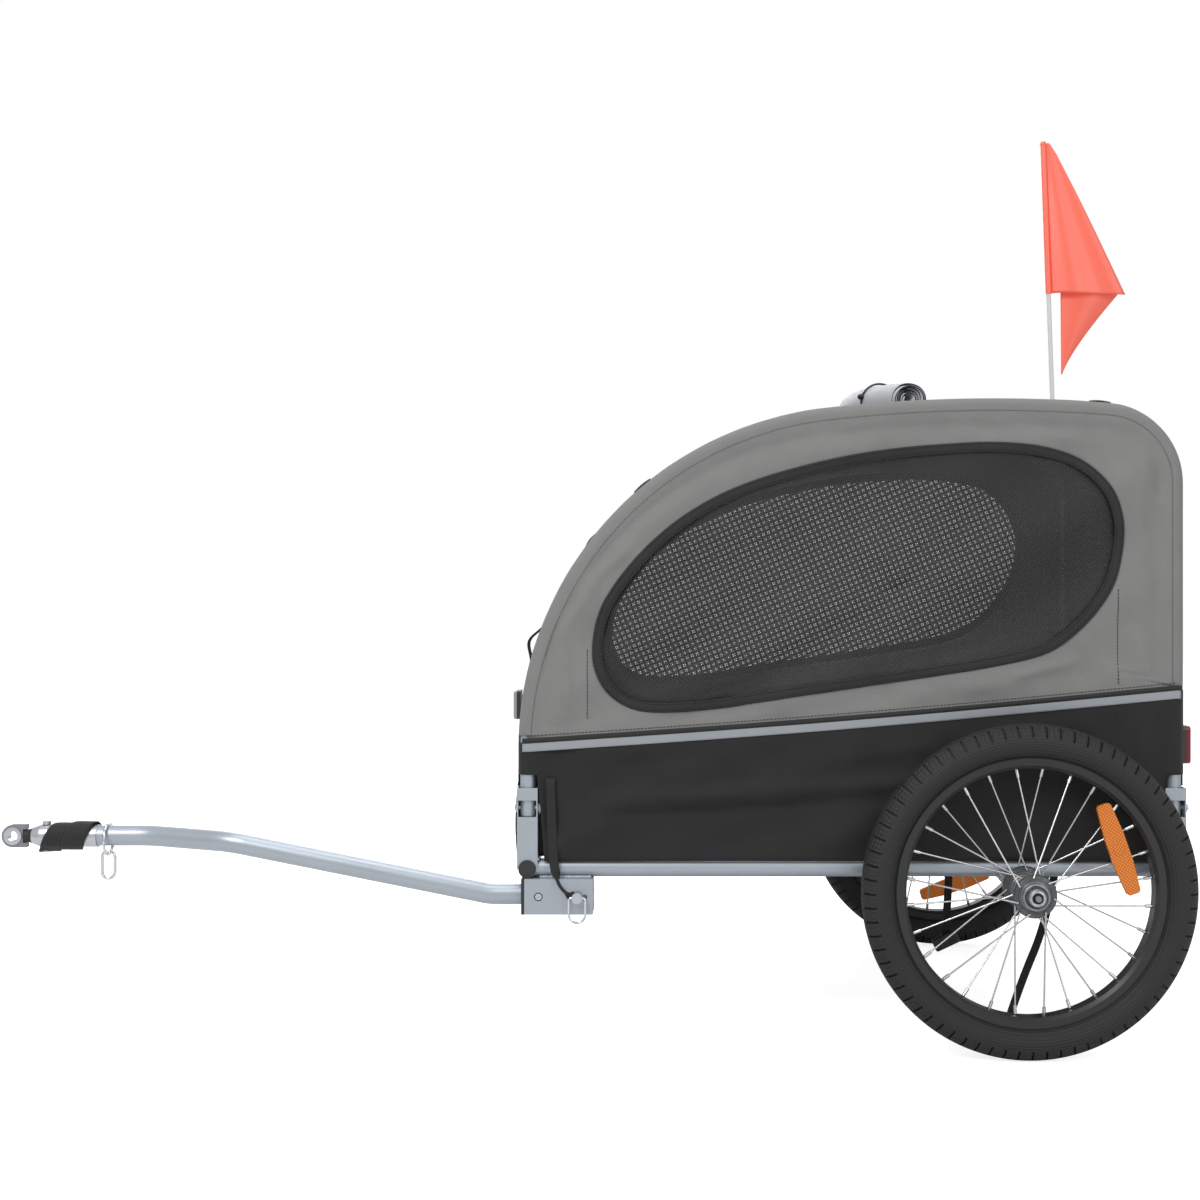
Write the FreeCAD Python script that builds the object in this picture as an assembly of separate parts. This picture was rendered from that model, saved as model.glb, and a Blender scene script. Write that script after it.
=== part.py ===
import FreeCAD
import Part
import math
import os

# Dog bike trailer with two folding side hoops, 16 inch wheels and a left-hand drawbar.
# Millimetres and degrees. X is forward, Y is left, Z is up from the ground.
# Places are measured from the axle line. AXLE_X then puts the middle of the footprint at X = 0.

# Wheels
WHEEL_D = 400.0
TYRE_W = 44.0
TYRE_WALL = 4.0
TREAD_BLOCKS = 72
TREAD_GROOVE = 2.6
TREAD_DEPTH = 3.0
SHOULDER_DROP = 12.0
SHOULDER_INSET = 2.0
RIM_R = 160.0
RIM_W = 26.0
RIM_WALL = 1.6
RIM_DEPTH = 12.5
HUB_LENGTH = 76.0
HUB_BARREL_R = 13.0
HUB_END_R = 16.5
BEARING_D = 28.0
BEARING_W = 8.0
HUB_RECESS = 2.0
HUB_BORE_GAP = 1.5
FLANGE_R = 26.0
FLANGE_T = 3.0
FLANGE_SPACING = 58.0
SPOKES_PER_FLANGE = 14
SPOKE_D = 2.0
SPOKE_HOLE_R = 22.0
SPOKE_ELBOW = 1.0
SPOKE_HEAD_R = 1.9
SPOKE_HEAD_T = 1.0
NIPPLE_D = 4.0
NIPPLE_LENGTH = 10.0
WHEEL_GAP = 4.0

# Quick release axles
AXLE_D = 12.7
AXLE_REACH = 70.0
AXLE_SHOULDER_R = 9.5
AXLE_HEAD_R = 10.5
AXLE_HEAD_T = 8.2
AXLE_HEAD_BEVEL = 1.5
BUTTON_D = 7.0
BUTTON_DEPTH = 6.2
BUTTON_TRAVEL = 3.0
BUTTON_PROUD = 1.0

# Base frame
FRAME_WIDTH = 530.0
FRONT_X = 600.0
REAR_X = -187.0
RAIL_D = 22.0
RAIL_WALL = 1.5
RAIL_RISE = 20.0
CAP_T = 3.0
CAP_PLUG = 12.0

# Folding posts and hoops
POST_W = 25.0
POST_WALL = 1.5
PIVOT_Z = 293.0
POST_ABOVE = 25.0
WINDOW_HALF = 10.0
PIVOT_BOLT_D = 6.0
BOLT_HEAD_R = 5.5
BOLT_HEAD_T = 4.0
HOOP_D = 19.0
HOOP_WALL = 1.5
HOOP_TOP_Z = 780.5
HOOP_FRONT_R = 410.0
HOOP_REAR_R = 86.0
ROOF_RISE = 6.7
ROOF_FALL = 4.6

# Drawbar, its receiver and its lock pin
RECEIVER_L = 83.0
RECEIVER_H = 43.0
RECEIVER_W = 40.0
RECEIVER_WALL = 3.0
RECEIVER_NOSE = 3.0
BUSH_L = 28.0
BUSH_LIP = 4.0
DRAWBAR_D = 25.0
DRAWBAR_WALL = 2.0
DRAWBAR_BEND_R = 75.0
DRAWBAR_STRAIGHT = 46.0
DRAWBAR_RISE_RUN = 317.0
DRAWBAR_INSET_RUN = 112.0
HITCH_X = 1246.0
HITCH_INSET = 50.0
HITCH_Z = 251.0
PIN_D = 8.0
PIN_BACK = 61.0
PIN_HEAD_R = 6.5
PIN_HEAD_L = 10.0
PIN_TAIL = 8.0
PIN_RING_W = 20.0
PIN_RING_H = 30.0
PIN_RING_WIRE = 3.0
SPARE_HOLE_D = 6.0
SPARE_HOLE_BACK = 73.0
BUSH_SCREW_BACK = 17.0
BUSH_SCREW_D = 5.0
BUSH_SCREW_HEAD_R = 4.0
BUSH_SCREW_HEAD_T = 3.0

# Flexible hitch
EYE_R = 14.0
EYE_T = 10.0
EYE_BORE_D = 12.5
BUSHING_D = 18.0
BUSHING_LIP_R = 11.0
BUSHING_LIP_T = 1.5
FORK_REACH = 17.0
FORK_ARM = 5.5
SLEEVE_D = 28.0
SLEEVE_L = 82.0
SLEEVE_GAP = 24.0
CORE_OVERLAP = 70.0
HITCH_BOLT_D = 6.0
HITCH_BOLT_BACK = 17.0
SLEEVE_TAPER_L = 11.0
SLEEVE_TIP_D = 20.0

# Safety strap, ring and hook on the drawbar
STRAP_W = 22.0
STRAP_T = 1.4
STRAP_TURNS = 1.2
STRAP_PITCH = 26.0
STRAP_RING_R = 19.0
STRAP_RING_WIRE = 3.4
STRAP_RING_BACK = 118.0
HOOK_L = 34.0
HOOK_W = 16.0
HOOK_WIRE = 4.0

# Fabric body
SKIN_T = 2.0
BAND_GAP = 0.8
HATCH_REAR_X = 98.0
HATCH_FRONT_X = 420.0
HATCH_MARGIN = 50.0
ROOF_FRONT_X = 432.0
ROOF_REAR_X = -118.0
PANEL_FOOT_Z = 320.0
WINDOW_INSET = 50.0
WINDOW_SILL_Z = 471.0
WINDOW_SILL_SLOPE = 8.0
WINDOW_FRONT_R = 60.0
WINDOW_TOP_R = 80.0
WINDOW_REAR_R = 140.0
BINDING_W = 12.0
BINDING_T = 1.5
FLOOR_T = 4.0
BATTEN_W = 25.0
BATTEN_T = 3.0
FRONT_BATTEN_X = 440.0
REAR_BATTEN_X = -110.0
ROLL_R = 23.0
ROLL_SHORT = 15.0
ROLL_CORE_R = 5.0
ROLL_TURNS = 4.5
ROLL_GAP = 1.0
ROLL_Z = 797.0
TIE_SHARE = 0.6
TIE_D = 3.0
TOGGLE_D = 9.0
TOGGLE_L = 16.0
TETHER_W = 12.0
TETHER_T = 1.4
TETHER_TOP_Z = 330.0
TETHER_TOP_BACK = 28.0

# Reflectors
REFLECTOR_W = 30.0
REFLECTOR_H = 36.0
REFLECTOR_T = 9.0
FRONT_REFLECTOR_Z = 416.0
REAR_REFLECTOR_H = 46.0
REAR_REFLECTOR_Z = 368.0
REFLECTOR_INSET = 43.0
SPOKE_REFLECTOR_L = 112.0
SPOKE_REFLECTOR_W = 28.0
SPOKE_REFLECTOR_T = 7.0
SPOKE_REFLECTOR_R = 114.0
SPOKE_REFLECTOR_TILT = 8.0
SPOKE_REFLECTOR_SINK = 0.6
SPOKE_STEPS = 200
LEFT_REFLECTOR_ANGLE = 208.0

# Flag
POLE_D = 7.0
POLE_FOOT_Z = 240.0
POLE_TOP_Z = 1250.0
POLE_LEAN = 2.04
POLE_X = -194.0
HOLDER_WALL = 2.4
HOLDER_DEPTH = 40.0
FLAG_HOIST = 235.0
FLAG_FLY = 118.0
FLAG_DROP = 122.0
FLAG_T = 1.2
FLAG_WAVE = 14.0

# Webbing that hangs under the floor
UNDER_STRAP_W = 10.0
UNDER_STRAP_T = 1.6
BUCKLE_W = 34.0
BUCKLE_H = 18.0
BUCKLE_TURN = 25.0
BUCKLE_T = 8.0

# Clearances
RUN_FIT = 0.05
SEAT = 0.3
MOVE_GAP = 0.5

# Worked out from the sizes above
WHEEL_R = WHEEL_D / 2
AXLE_Z = WHEEL_R
FRAME_Y = FRAME_WIDTH / 2
RAIL_R = RAIL_D / 2
WHEEL_Y = FRAME_Y + RAIL_R + WHEEL_GAP + HUB_LENGTH / 2
HITCH_Y = FRAME_Y - HITCH_INSET
HATCH_HALF = FRAME_Y - HATCH_MARGIN
ROLL_LENGTH = 2 * (HATCH_HALF - ROLL_SHORT)
TIE_PLACE = TIE_SHARE * ROLL_LENGTH / 2
REFLECTOR_PLACE = FRAME_Y - REFLECTOR_INSET
RAIL_Z = AXLE_Z + RAIL_RISE
RAIL_TOP = RAIL_Z + RAIL_R
FRAME_SIDE = FRAME_Y + RAIL_R
POST_SIDE = FRAME_Y + POST_W / 2
HOOP_R = HOOP_D / 2
BAND_IN = HOOP_R + BAND_GAP
BAND_OUT = BAND_IN + SKIN_T
SKIN_Y = FRAME_Y + HOOP_R + 0.4
SKIN_SIDE = SKIN_Y + SKIN_T
SPOKE_LEAN = 360 / SPOKES_PER_FLANGE
POST_TOP = PIVOT_Z + POST_ABOVE
DRAWBAR_R = DRAWBAR_D / 2
SLEEVE_R = SLEEVE_D / 2
RECEIVER_TOP = RAIL_Z - RAIL_R
RECEIVER_Z = RECEIVER_TOP - RECEIVER_H / 2
RECEIVER_FACE = FRAME_Y + RECEIVER_W / 2
RECEIVER_X = FRONT_X + RECEIVER_NOSE
SLEEVE_FRONT = HITCH_X - SLEEVE_GAP
SLEEVE_REAR = SLEEVE_FRONT - SLEEVE_L
PIN_X = FRONT_X - PIN_BACK
RIGHT_REFLECTOR_ANGLE = LEFT_REFLECTOR_ANGLE - 4 * 360 / SPOKES_PER_FLANGE
ROOF_TURN = math.radians(ROOF_RISE)
ROOF_SINK = math.radians(ROOF_FALL)
CROWN_RUN = (FRONT_X - REAR_X - HOOP_FRONT_R * (1 - math.sin(ROOF_TURN))
             - HOOP_REAR_R * (1 - math.sin(ROOF_SINK)))
CROWN_R = CROWN_RUN / (math.sin(ROOF_TURN) + math.sin(ROOF_SINK))
SHOULDER_Z = HOOP_TOP_Z - CROWN_R - (HOOP_FRONT_R - CROWN_R) * math.cos(ROOF_TURN)
POLE_Y = -(FRAME_Y + POST_W / 2 + SEAT + HOLDER_WALL + POLE_D / 2 + RUN_FIT)
POLE_SLOPE = math.tan(math.radians(POLE_LEAN))
FLAG_REAR_X = POLE_X + (POLE_TOP_Z - FLAG_HOIST - POLE_FOOT_Z) * POLE_SLOPE - FLAG_FLY
AXLE_X = -(HITCH_X + EYE_R + FLAG_REAR_X) / 2

X_AXIS = FreeCAD.Vector(1, 0, 0)
Y_AXIS = FreeCAD.Vector(0, 1, 0)
Z_AXIS = FreeCAD.Vector(0, 0, 1)


def vec(x, y, z):
    return FreeCAD.Vector(x, y, z)


def block(x0, x1, y0, y1, z0, z1):
    return Part.makeBox(x1 - x0, y1 - y0, z1 - z0, vec(x0, y0, z0))


def rod(start, end, radius):
    return Part.makeCylinder(radius, (end - start).Length, start, end - start)


def pipe(start, end, radius, wall):
    return rod(start, end, radius).cut(rod(start, end, radius - wall))


def prism(points, run):
    return Part.Face(Part.makePolygon(points + points[:1])).extrude(run)


def fuse(first, *others):
    return first.multiFuse(list(others)).removeSplitter()


def mirrored(shape):
    return shape.mirror(vec(0, 0, 0), Y_AXIS)


def turned(profile):
    """A full turn of a closed (y, r) outline about the wheel's axis at the origin."""
    return Part.Face(profile).revolve(vec(0, 0, 0), Y_AXIS, 360)


def rounded_path(points, radius):
    """Straight runs through the points, joined by tangent arcs."""
    edges = []
    start = points[0]
    for before, corner, after in zip(points, points[1:], points[2:]):
        back = (before - corner).normalize()
        ahead = (after - corner).normalize()
        half = back.getAngle(ahead) / 2
        middle = (back + ahead).normalize()
        first = corner + back * (radius / math.tan(half))
        last = corner + ahead * (radius / math.tan(half))
        top = corner + middle * (radius / math.sin(half) - radius)
        edges.append(Part.makeLine(start, first))
        edges.append(Part.Arc(first, top, last).toShape())
        start = last
    edges.append(Part.makeLine(start, points[-1]))
    return Part.Wire(edges)


def swept(path, radius):
    edge = path.Edges[0]
    start = edge.valueAt(edge.FirstParameter)
    circle = Part.Wire(Part.makeCircle(radius, start, edge.tangentAt(edge.FirstParameter)))
    return path.makePipeShell([circle], True, False)


def wire_loop(centre, width, height, wire_d):
    """A wire link in the XZ plane: two straight legs and two half rings."""
    wire = wire_d / 2
    turn = width / 2
    leg = height / 2 - turn
    solids = []
    for sign in (1, -1):
        middle = centre + vec(0, 0, sign * leg)
        ring = Part.makeTorus(turn, wire, middle, Y_AXIS)
        z0, z1 = sorted((middle.z, middle.z + sign * width))
        keep = block(centre.x - width, centre.x + width, centre.y - wire_d, centre.y + wire_d, z0, z1)
        solids.append(ring.common(keep))
        side = vec(sign * turn, 0, 0)
        solids.append(rod(centre + side - vec(0, 0, leg), centre + side + vec(0, 0, leg), wire))
    return fuse(*solids)


def ribbon(places, width, thickness, across):
    """A strap lofted straight from section to section."""
    sections = []
    last = len(places) - 1
    for index, place in enumerate(places):
        ahead = (places[min(index + 1, last)] - places[max(index - 1, 0)]).normalize()
        wide = (across - ahead * across.dot(ahead)).normalize()
        normal = ahead.cross(wide) * (thickness / 2)
        side = wide * (width / 2)
        corners = [place + side + normal, place - side + normal, place - side - normal, place + side - normal]
        sections.append(Part.makePolygon(corners + corners[:1]))
    return Part.makeLoft(sections, True, True)


def save(node, *shapes):
    solids = [solid for shape in shapes for solid in shape.Solids]
    whole = solids[0] if len(solids) == 1 else Part.makeCompound(solids)
    whole = whole.copy()
    whole.translate(vec(AXLE_X, 0, 0))
    whole.exportStep("parts/" + node + ".step")


def save_pair(node, shape):
    save("left_" + node, shape)
    save("right_" + node, mirrored(shape))


# Wheel pieces, made about the origin with the axle along Y

def outline(points):
    """A closed outline through (y, r) points; a point with a third value starts an arc over the next one."""
    edges = []
    index = 0
    ring = points + points[:1]
    while index < len(points):
        here = vec(0, ring[index][0], ring[index][1])
        if len(ring[index]) == 3:
            over = vec(0, ring[index + 1][0], ring[index + 1][1])
            there = vec(0, ring[index + 2][0], ring[index + 2][1])
            edges.append(Part.Arc(here, over, there).toShape())
            index += 2
        else:
            there = vec(0, ring[index + 1][0], ring[index + 1][1])
            edges.append(Part.makeLine(here, there))
            index += 1
    return Part.Wire(edges)


def tread_groove():
    """One groove across the shoulder, of even depth below the crown's round."""
    half = TYRE_W / 2
    run = half - SHOULDER_INSET
    crown_r = (run * run + SHOULDER_DROP * SHOULDER_DROP) / (2 * SHOULDER_DROP)
    wide = vec(TREAD_GROOVE / 2, 0, 0)
    centre = vec(0, 0, WHEEL_R - crown_r)
    over = rod(centre - wide, centre + wide, crown_r + TREAD_DEPTH)
    under = rod(centre - wide, centre + wide, crown_r - TREAD_DEPTH)
    keep = block(-TREAD_GROOVE, TREAD_GROOVE, half * 0.4, TYRE_W, WHEEL_R - SHOULDER_DROP - TREAD_DEPTH,
                 WHEEL_R + TYRE_W)
    return over.cut(under).common(keep)


def tyre():
    half = TYRE_W / 2
    bead = RIM_W / 2 - RIM_WALL - SEAT
    foot = RIM_R - 7.0
    lip = RIM_R + 1.0
    belly = (RIM_R + WHEEL_R) / 2 - 3
    edge = half - SHOULDER_INSET
    shoulder = WHEEL_R - SHOULDER_DROP
    skin = TYRE_WALL
    outer = [(-bead, foot), (-bead, lip, "arc"), (-half, belly), (-edge, shoulder, "arc"),
             (0, WHEEL_R), (edge, shoulder, "arc"), (half, belly), (bead, lip), (bead, foot)]
    inner = [(bead - skin, foot), (bead - skin, lip, "arc"), (half - skin, belly),
             (edge - skin, shoulder - skin / 2, "arc"), (0, WHEEL_R - TREAD_DEPTH - skin),
             (skin - edge, shoulder - skin / 2, "arc"), (skin - half, belly), (skin - bead, lip),
             (skin - bead, foot)]
    body = turned(outline(outer + inner))
    left = tread_groove()
    step = 360 / TREAD_BLOCKS
    grooves = []
    for index in range(TREAD_BLOCKS):
        for groove, start in ((left, 0), (mirrored(left), 0.5)):
            copy = groove.copy()
            copy.rotate(vec(0, 0, 0), Y_AXIS, (index + start) * step)
            grooves.append(copy)
    return body.cut(Part.makeCompound(grooves))


def rim():
    half = RIM_W / 2
    base = RIM_R - RIM_DEPTH
    wall = RIM_WALL
    points = [(-half, RIM_R), (-half, base + 4), (4 - half, base), (half - 4, base), (half, base + 4),
              (half, RIM_R), (half - wall, RIM_R), (half - wall, base + 4.6), (half - 4.6, base + wall),
              (4.6 - half, base + wall), (wall - half, base + 4.6), (wall - half, RIM_R)]
    return turned(outline(points))


def hub():
    end = HUB_LENGTH / 2
    near = FLANGE_SPACING / 2 - FLANGE_T / 2
    far = near + FLANGE_T
    bore = AXLE_D / 2 + HUB_BORE_GAP
    half = [(end, bore), (end, HUB_END_R - 1), (end - 1, HUB_END_R), (far, HUB_END_R), (far, FLANGE_R - 1),
            (far - 1, FLANGE_R), (near + 1, FLANGE_R), (near, FLANGE_R - 1), (near, HUB_BARREL_R + 4),
            (near - 6, HUB_BARREL_R)]
    other = [(-y, r) for y, r in reversed(half)]
    body = turned(outline(half + other))
    seat = rod(vec(0, end - HUB_RECESS - BEARING_W, 0), vec(0, end, 0), BEARING_D / 2)
    body = body.cut(seat).cut(mirrored(seat))
    heads = []
    for lean in (1, -1):
        face = FLANGE_SPACING / 2 - lean * FLANGE_T / 2
        tip = face - lean * SPOKE_HEAD_T
        for angle in spoke_angles(lean):
            turn = angle + 0.25 * 360 / SPOKES_PER_FLANGE
            heads.append(rod(polar(SPOKE_HOLE_R, turn, face), polar(SPOKE_HOLE_R, turn, tip), SPOKE_HEAD_R))
            turn = angle - 0.25 * 360 / SPOKES_PER_FLANGE
            heads.append(rod(polar(SPOKE_HOLE_R, turn, -face), polar(SPOKE_HOLE_R, turn, -tip), SPOKE_HEAD_R))
    return body.multiFuse(heads)


def hub_bearings():
    face = HUB_LENGTH / 2 - HUB_RECESS
    outer = rod(vec(0, face - BEARING_W, 0), vec(0, face, 0), BEARING_D / 2)
    inner = rod(vec(0, face - BEARING_W, 0), vec(0, face, 0), AXLE_D / 2 + RUN_FIT)
    groove = Part.makeTorus(BEARING_D / 4 + AXLE_D / 4, 1.2, vec(0, face, 0), Y_AXIS)
    ring = outer.cut(inner).cut(groove)
    return [ring, mirrored(ring)]


def spoke_angles(lean):
    """Holes of the spokes that lie outside (lean 1) or inside (lean -1) the flange."""
    first = 1 if lean > 0 else 0
    return [index * 360 / SPOKES_PER_FLANGE for index in range(first, SPOKES_PER_FLANGE, 2)]


def spoke_ends(lean):
    reach = RIM_R - RIM_DEPTH - 0.6
    start = polar(SPOKE_HOLE_R, 0, FLANGE_SPACING / 2 + lean * (FLANGE_T / 2 + SPOKE_D / 2 + SPOKE_ELBOW))
    return start, polar(reach, lean * SPOKE_LEAN, 3.0)


def spoke(lean):
    """One spoke of the outer flange at angle 0: elbow at the flange, straight wire, nipple at the rim."""
    start, end = spoke_ends(lean)
    foot = polar(SPOKE_HOLE_R, 0, FLANGE_SPACING / 2 + lean * (FLANGE_T / 2 + 0.1))
    nipple = end + (start - end).normalize() * NIPPLE_LENGTH
    bend = Part.makeSphere(SPOKE_D / 2, start)
    wire = rod(start, end, SPOKE_D / 2)
    return fuse(wire, bend, rod(foot, start, SPOKE_D / 2), rod(nipple, end, NIPPLE_D / 2))


def spokes():
    """Each flange is laced in pairs that lean opposite ways and cross, outer and inner face in turn."""
    solids = []
    for lean in (1, -1):
        outer = spoke(lean)
        for solid, shift in ((outer, 0.25), (mirrored(outer), -0.25)):
            for angle in spoke_angles(lean):
                copy = solid.copy()
                copy.rotate(vec(0, 0, 0), Y_AXIS, -angle - shift * 360 / SPOKES_PER_FLANGE)
                solids.append(copy)
    return solids


def polar(radius, angle, y):
    turn = math.radians(angle)
    return vec(radius * math.cos(turn), y, radius * math.sin(turn))


def spoke_reflector(angle):
    """A long plate with drawn-in ends that clips across the outer spokes."""
    half = SPOKE_REFLECTOR_L / 2
    wide = SPOKE_REFLECTOR_W / 2
    inner = SPOKE_REFLECTOR_R * math.cos(math.radians(SPOKE_REFLECTOR_TILT)) - wide
    start, end = spoke_ends(1)
    across = (end - start).multiply(1 / SPOKE_STEPS)
    wire = [start + across * step for step in range(SPOKE_STEPS)]
    top = max(place.y for place in wire if math.hypot(place.x, place.z) > inner)
    face = top + SPOKE_D / 2 - SPOKE_REFLECTOR_SINK
    points = [vec(-wide, face, -half + 6), vec(-wide + 8, face, -half), vec(wide - 8, face, -half),
              vec(wide, face, -half + 6), vec(wide, face, half - 6), vec(wide - 8, face, half),
              vec(-wide + 8, face, half), vec(-wide, face, half - 6)]
    plate = prism(points, vec(0, SPOKE_REFLECTOR_T, 0))
    rim_edges = [e for e in plate.Edges if e.CenterOfMass.y > face + SPOKE_REFLECTOR_T - 0.1]
    plate = plate.makeChamfer(1.5, rim_edges)
    plate.rotate(vec(0, 0, 0), Y_AXIS, SPOKE_REFLECTOR_TILT)
    plate.translate(vec(SPOKE_REFLECTOR_R, 0, 0))
    plate.rotate(vec(0, 0, 0), Y_AXIS, angle)
    return plate


def axle():
    """The quick release pin: head, bearing length, shoulder and the part inside the axle tube."""
    face = HUB_LENGTH / 2 - HUB_RECESS + SEAT
    tip = face + AXLE_HEAD_T
    bevel = tip - AXLE_HEAD_BEVEL
    crown = AXLE_HEAD_R - AXLE_HEAD_BEVEL
    dome = Part.makeCone(AXLE_HEAD_R, crown, AXLE_HEAD_BEVEL, vec(0, bevel, 0), Y_AXIS)
    head = fuse(rod(vec(0, face, 0), vec(0, bevel, 0), AXLE_HEAD_R), dome)
    shoulder = rod(vec(0, FRAME_SIDE + SEAT - WHEEL_Y, 0), vec(0, -face, 0), AXLE_SHOULDER_R)
    shaft = rod(vec(0, FRAME_SIDE - AXLE_REACH - WHEEL_Y, 0), vec(0, face, 0), AXLE_D / 2)
    body = fuse(shaft, head, shoulder)
    return body.cut(rod(vec(0, tip - BUTTON_DEPTH, 0), vec(0, tip, 0), BUTTON_D / 2 + RUN_FIT))


def axle_button():
    tip = HUB_LENGTH / 2 - HUB_RECESS + SEAT + AXLE_HEAD_T
    bottom = tip - BUTTON_DEPTH + BUTTON_TRAVEL + MOVE_GAP
    return rod(vec(0, bottom, 0), vec(0, tip + BUTTON_PROUD + BUTTON_TRAVEL, 0), BUTTON_D / 2)


def save_wheels():
    left = vec(0, WHEEL_Y, AXLE_Z)
    pieces = {"tyre": [tyre()], "rim": [rim()], "hub": [hub()], "hub_bearings": hub_bearings(),
              "spokes": spokes(), "axle_button": [axle_button()]}
    for node, solids in pieces.items():
        for solid in solids:
            solid.translate(left)
        save_pair(node, Part.makeCompound(solids))
    near = spoke_reflector(LEFT_REFLECTOR_ANGLE)
    far = spoke_reflector(RIGHT_REFLECTOR_ANGLE)
    pin = axle()
    for piece in (near, far, pin):
        piece.translate(left)
    save("left_spoke_reflector", near)
    save("right_spoke_reflector", mirrored(far))
    save("wheel_axles", pin, mirrored(pin))


# Base frame

def rail_bar():
    return rod(vec(REAR_X, FRAME_Y, RAIL_Z), vec(FRONT_X, FRAME_Y, RAIL_Z), RAIL_R)


def cross_bar(x):
    return rod(vec(x, -POST_SIDE, RAIL_Z), vec(x, POST_SIDE, RAIL_Z), RAIL_R)


def save_base_frame():
    ends = cross_bar(FRONT_X).fuse(cross_bar(REAR_X))
    hollow = rod(vec(REAR_X, FRAME_Y, RAIL_Z), vec(FRONT_X, FRAME_Y, RAIL_Z), RAIL_R - RAIL_WALL)
    rail = rail_bar().cut(hollow).cut(ends)
    save("side_rails", rail, mirrored(rail))
    caps = []
    tubes = []
    for x in (FRONT_X, REAR_X):
        bore = rod(vec(x, -POST_SIDE, RAIL_Z), vec(x, POST_SIDE, RAIL_Z), RAIL_R - RAIL_WALL)
        tubes.append(cross_bar(x).cut(bore))
        face = vec(x, POST_SIDE, RAIL_Z)
        disc = rod(face, face + vec(0, CAP_T, 0), RAIL_R - SEAT)
        plug = rod(face - vec(0, CAP_PLUG, 0), face, RAIL_R - RAIL_WALL - RUN_FIT)
        cap = fuse(disc, plug)
        caps += [cap, mirrored(cap)]
    save("cross_tubes", *tubes)
    save("frame_end_caps", *caps)
    beam = rod(vec(0, -FRAME_SIDE, AXLE_Z), vec(0, FRAME_SIDE, AXLE_Z), RAIL_R)
    socket = rod(vec(0, -FRAME_SIDE, AXLE_Z), vec(0, FRAME_SIDE, AXLE_Z), AXLE_D / 2 + RUN_FIT)
    deep = FRAME_SIDE - AXLE_REACH - 5
    hollow = rod(vec(0, -deep, AXLE_Z), vec(0, deep, AXLE_Z), RAIL_R - RAIL_WALL)
    save("axle_tube", beam.cut(socket).cut(hollow).cut(rail_bar()).cut(mirrored(rail_bar())))


def post(x):
    """Square post on the frame corner. Its outer window and open inner side let the hoop's foot swing."""
    half = POST_W / 2
    inside = half - POST_WALL
    body = block(x - half, x + half, FRAME_Y - half, FRAME_Y + half, RAIL_Z, POST_TOP)
    hollow = block(x - inside, x + inside, FRAME_Y - inside, FRAME_Y + inside, RAIL_Z, POST_TOP)
    window = block(x - inside, x + inside, FRAME_Y, FRAME_Y + half, PIVOT_Z - WINDOW_HALF,
                   PIVOT_Z + WINDOW_HALF)
    slot = block(x - inside, x + inside, FRAME_Y - half, FRAME_Y, PIVOT_Z - HOOP_R - 3, POST_TOP)
    hole = rod(vec(x - half, FRAME_Y, PIVOT_Z), vec(x + half, FRAME_Y, PIVOT_Z), PIVOT_BOLT_D / 2 + RUN_FIT)
    return body.cut(hollow).cut(window).cut(slot).cut(hole).cut(cross_bar(x)).cut(rail_bar())


def post_bolt(x):
    half = POST_W / 2
    head = vec(x + half, FRAME_Y, PIVOT_Z)
    shank = rod(vec(x - half - BOLT_HEAD_T - 2, FRAME_Y, PIVOT_Z), head, PIVOT_BOLT_D / 2)
    dome = Part.makeSphere(BOLT_HEAD_R * 1.3, head - vec(BOLT_HEAD_R * 1.3 - BOLT_HEAD_T, 0, 0))
    dome = dome.common(block(x + half, x + half + 9, FRAME_Y - 9, FRAME_Y + 9, PIVOT_Z - 9, PIVOT_Z + 9))
    corners = [vec(x - half, FRAME_Y, PIVOT_Z) + polar_x(BOLT_HEAD_R, 60 * step) for step in range(6)]
    nut = prism(corners, vec(-BOLT_HEAD_T, 0, 0))
    return fuse(shank, dome, nut)


def polar_x(radius, angle):
    turn = math.radians(angle)
    return vec(0, radius * math.cos(turn), radius * math.sin(turn))


def save_posts():
    posts = [post(FRONT_X), post(REAR_X)]
    save("corner_posts", *posts, *[mirrored(piece) for piece in posts])
    bolts = [post_bolt(FRONT_X), post_bolt(REAR_X)]
    save("post_bolts", *bolts, *[mirrored(bolt) for bolt in bolts])


# Hoops and the fabric that follows them

def hoop_edges(offset, y, foot_z, rear_r=HOOP_REAR_R):
    """The hoop's line moved out by offset: front leg, front arc, crown, rear corner, rear leg."""
    start = 0.0
    crest = math.pi / 2 - ROOF_TURN
    front = vec(FRONT_X - HOOP_FRONT_R, y, SHOULDER_Z)
    crown = front + slope(crest) * (HOOP_FRONT_R - CROWN_R)
    brow = math.pi / 2 + math.asin((crown.x - rear_r - REAR_X) / (CROWN_R - rear_r))
    rear = crown + slope(brow) * (CROWN_R - rear_r)
    edges = [Part.makeLine(vec(FRONT_X + offset, y, foot_z), front + slope(start) * (HOOP_FRONT_R + offset))]
    spans = ((front, HOOP_FRONT_R, start, crest), (crown, CROWN_R, crest, brow),
             (rear, rear_r, brow, math.pi))
    for centre, radius, begin, end in spans:
        reach = radius + offset
        places = [centre + slope(angle) * reach for angle in (begin, (begin + end) / 2, end)]
        edges.append(Part.Arc(*places).toShape())
    edges.append(Part.makeLine(rear + slope(math.pi) * (rear_r + offset), vec(REAR_X - offset, y, foot_z)))
    return edges


def slope(angle):
    return vec(math.cos(angle), 0, math.sin(angle))


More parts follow.
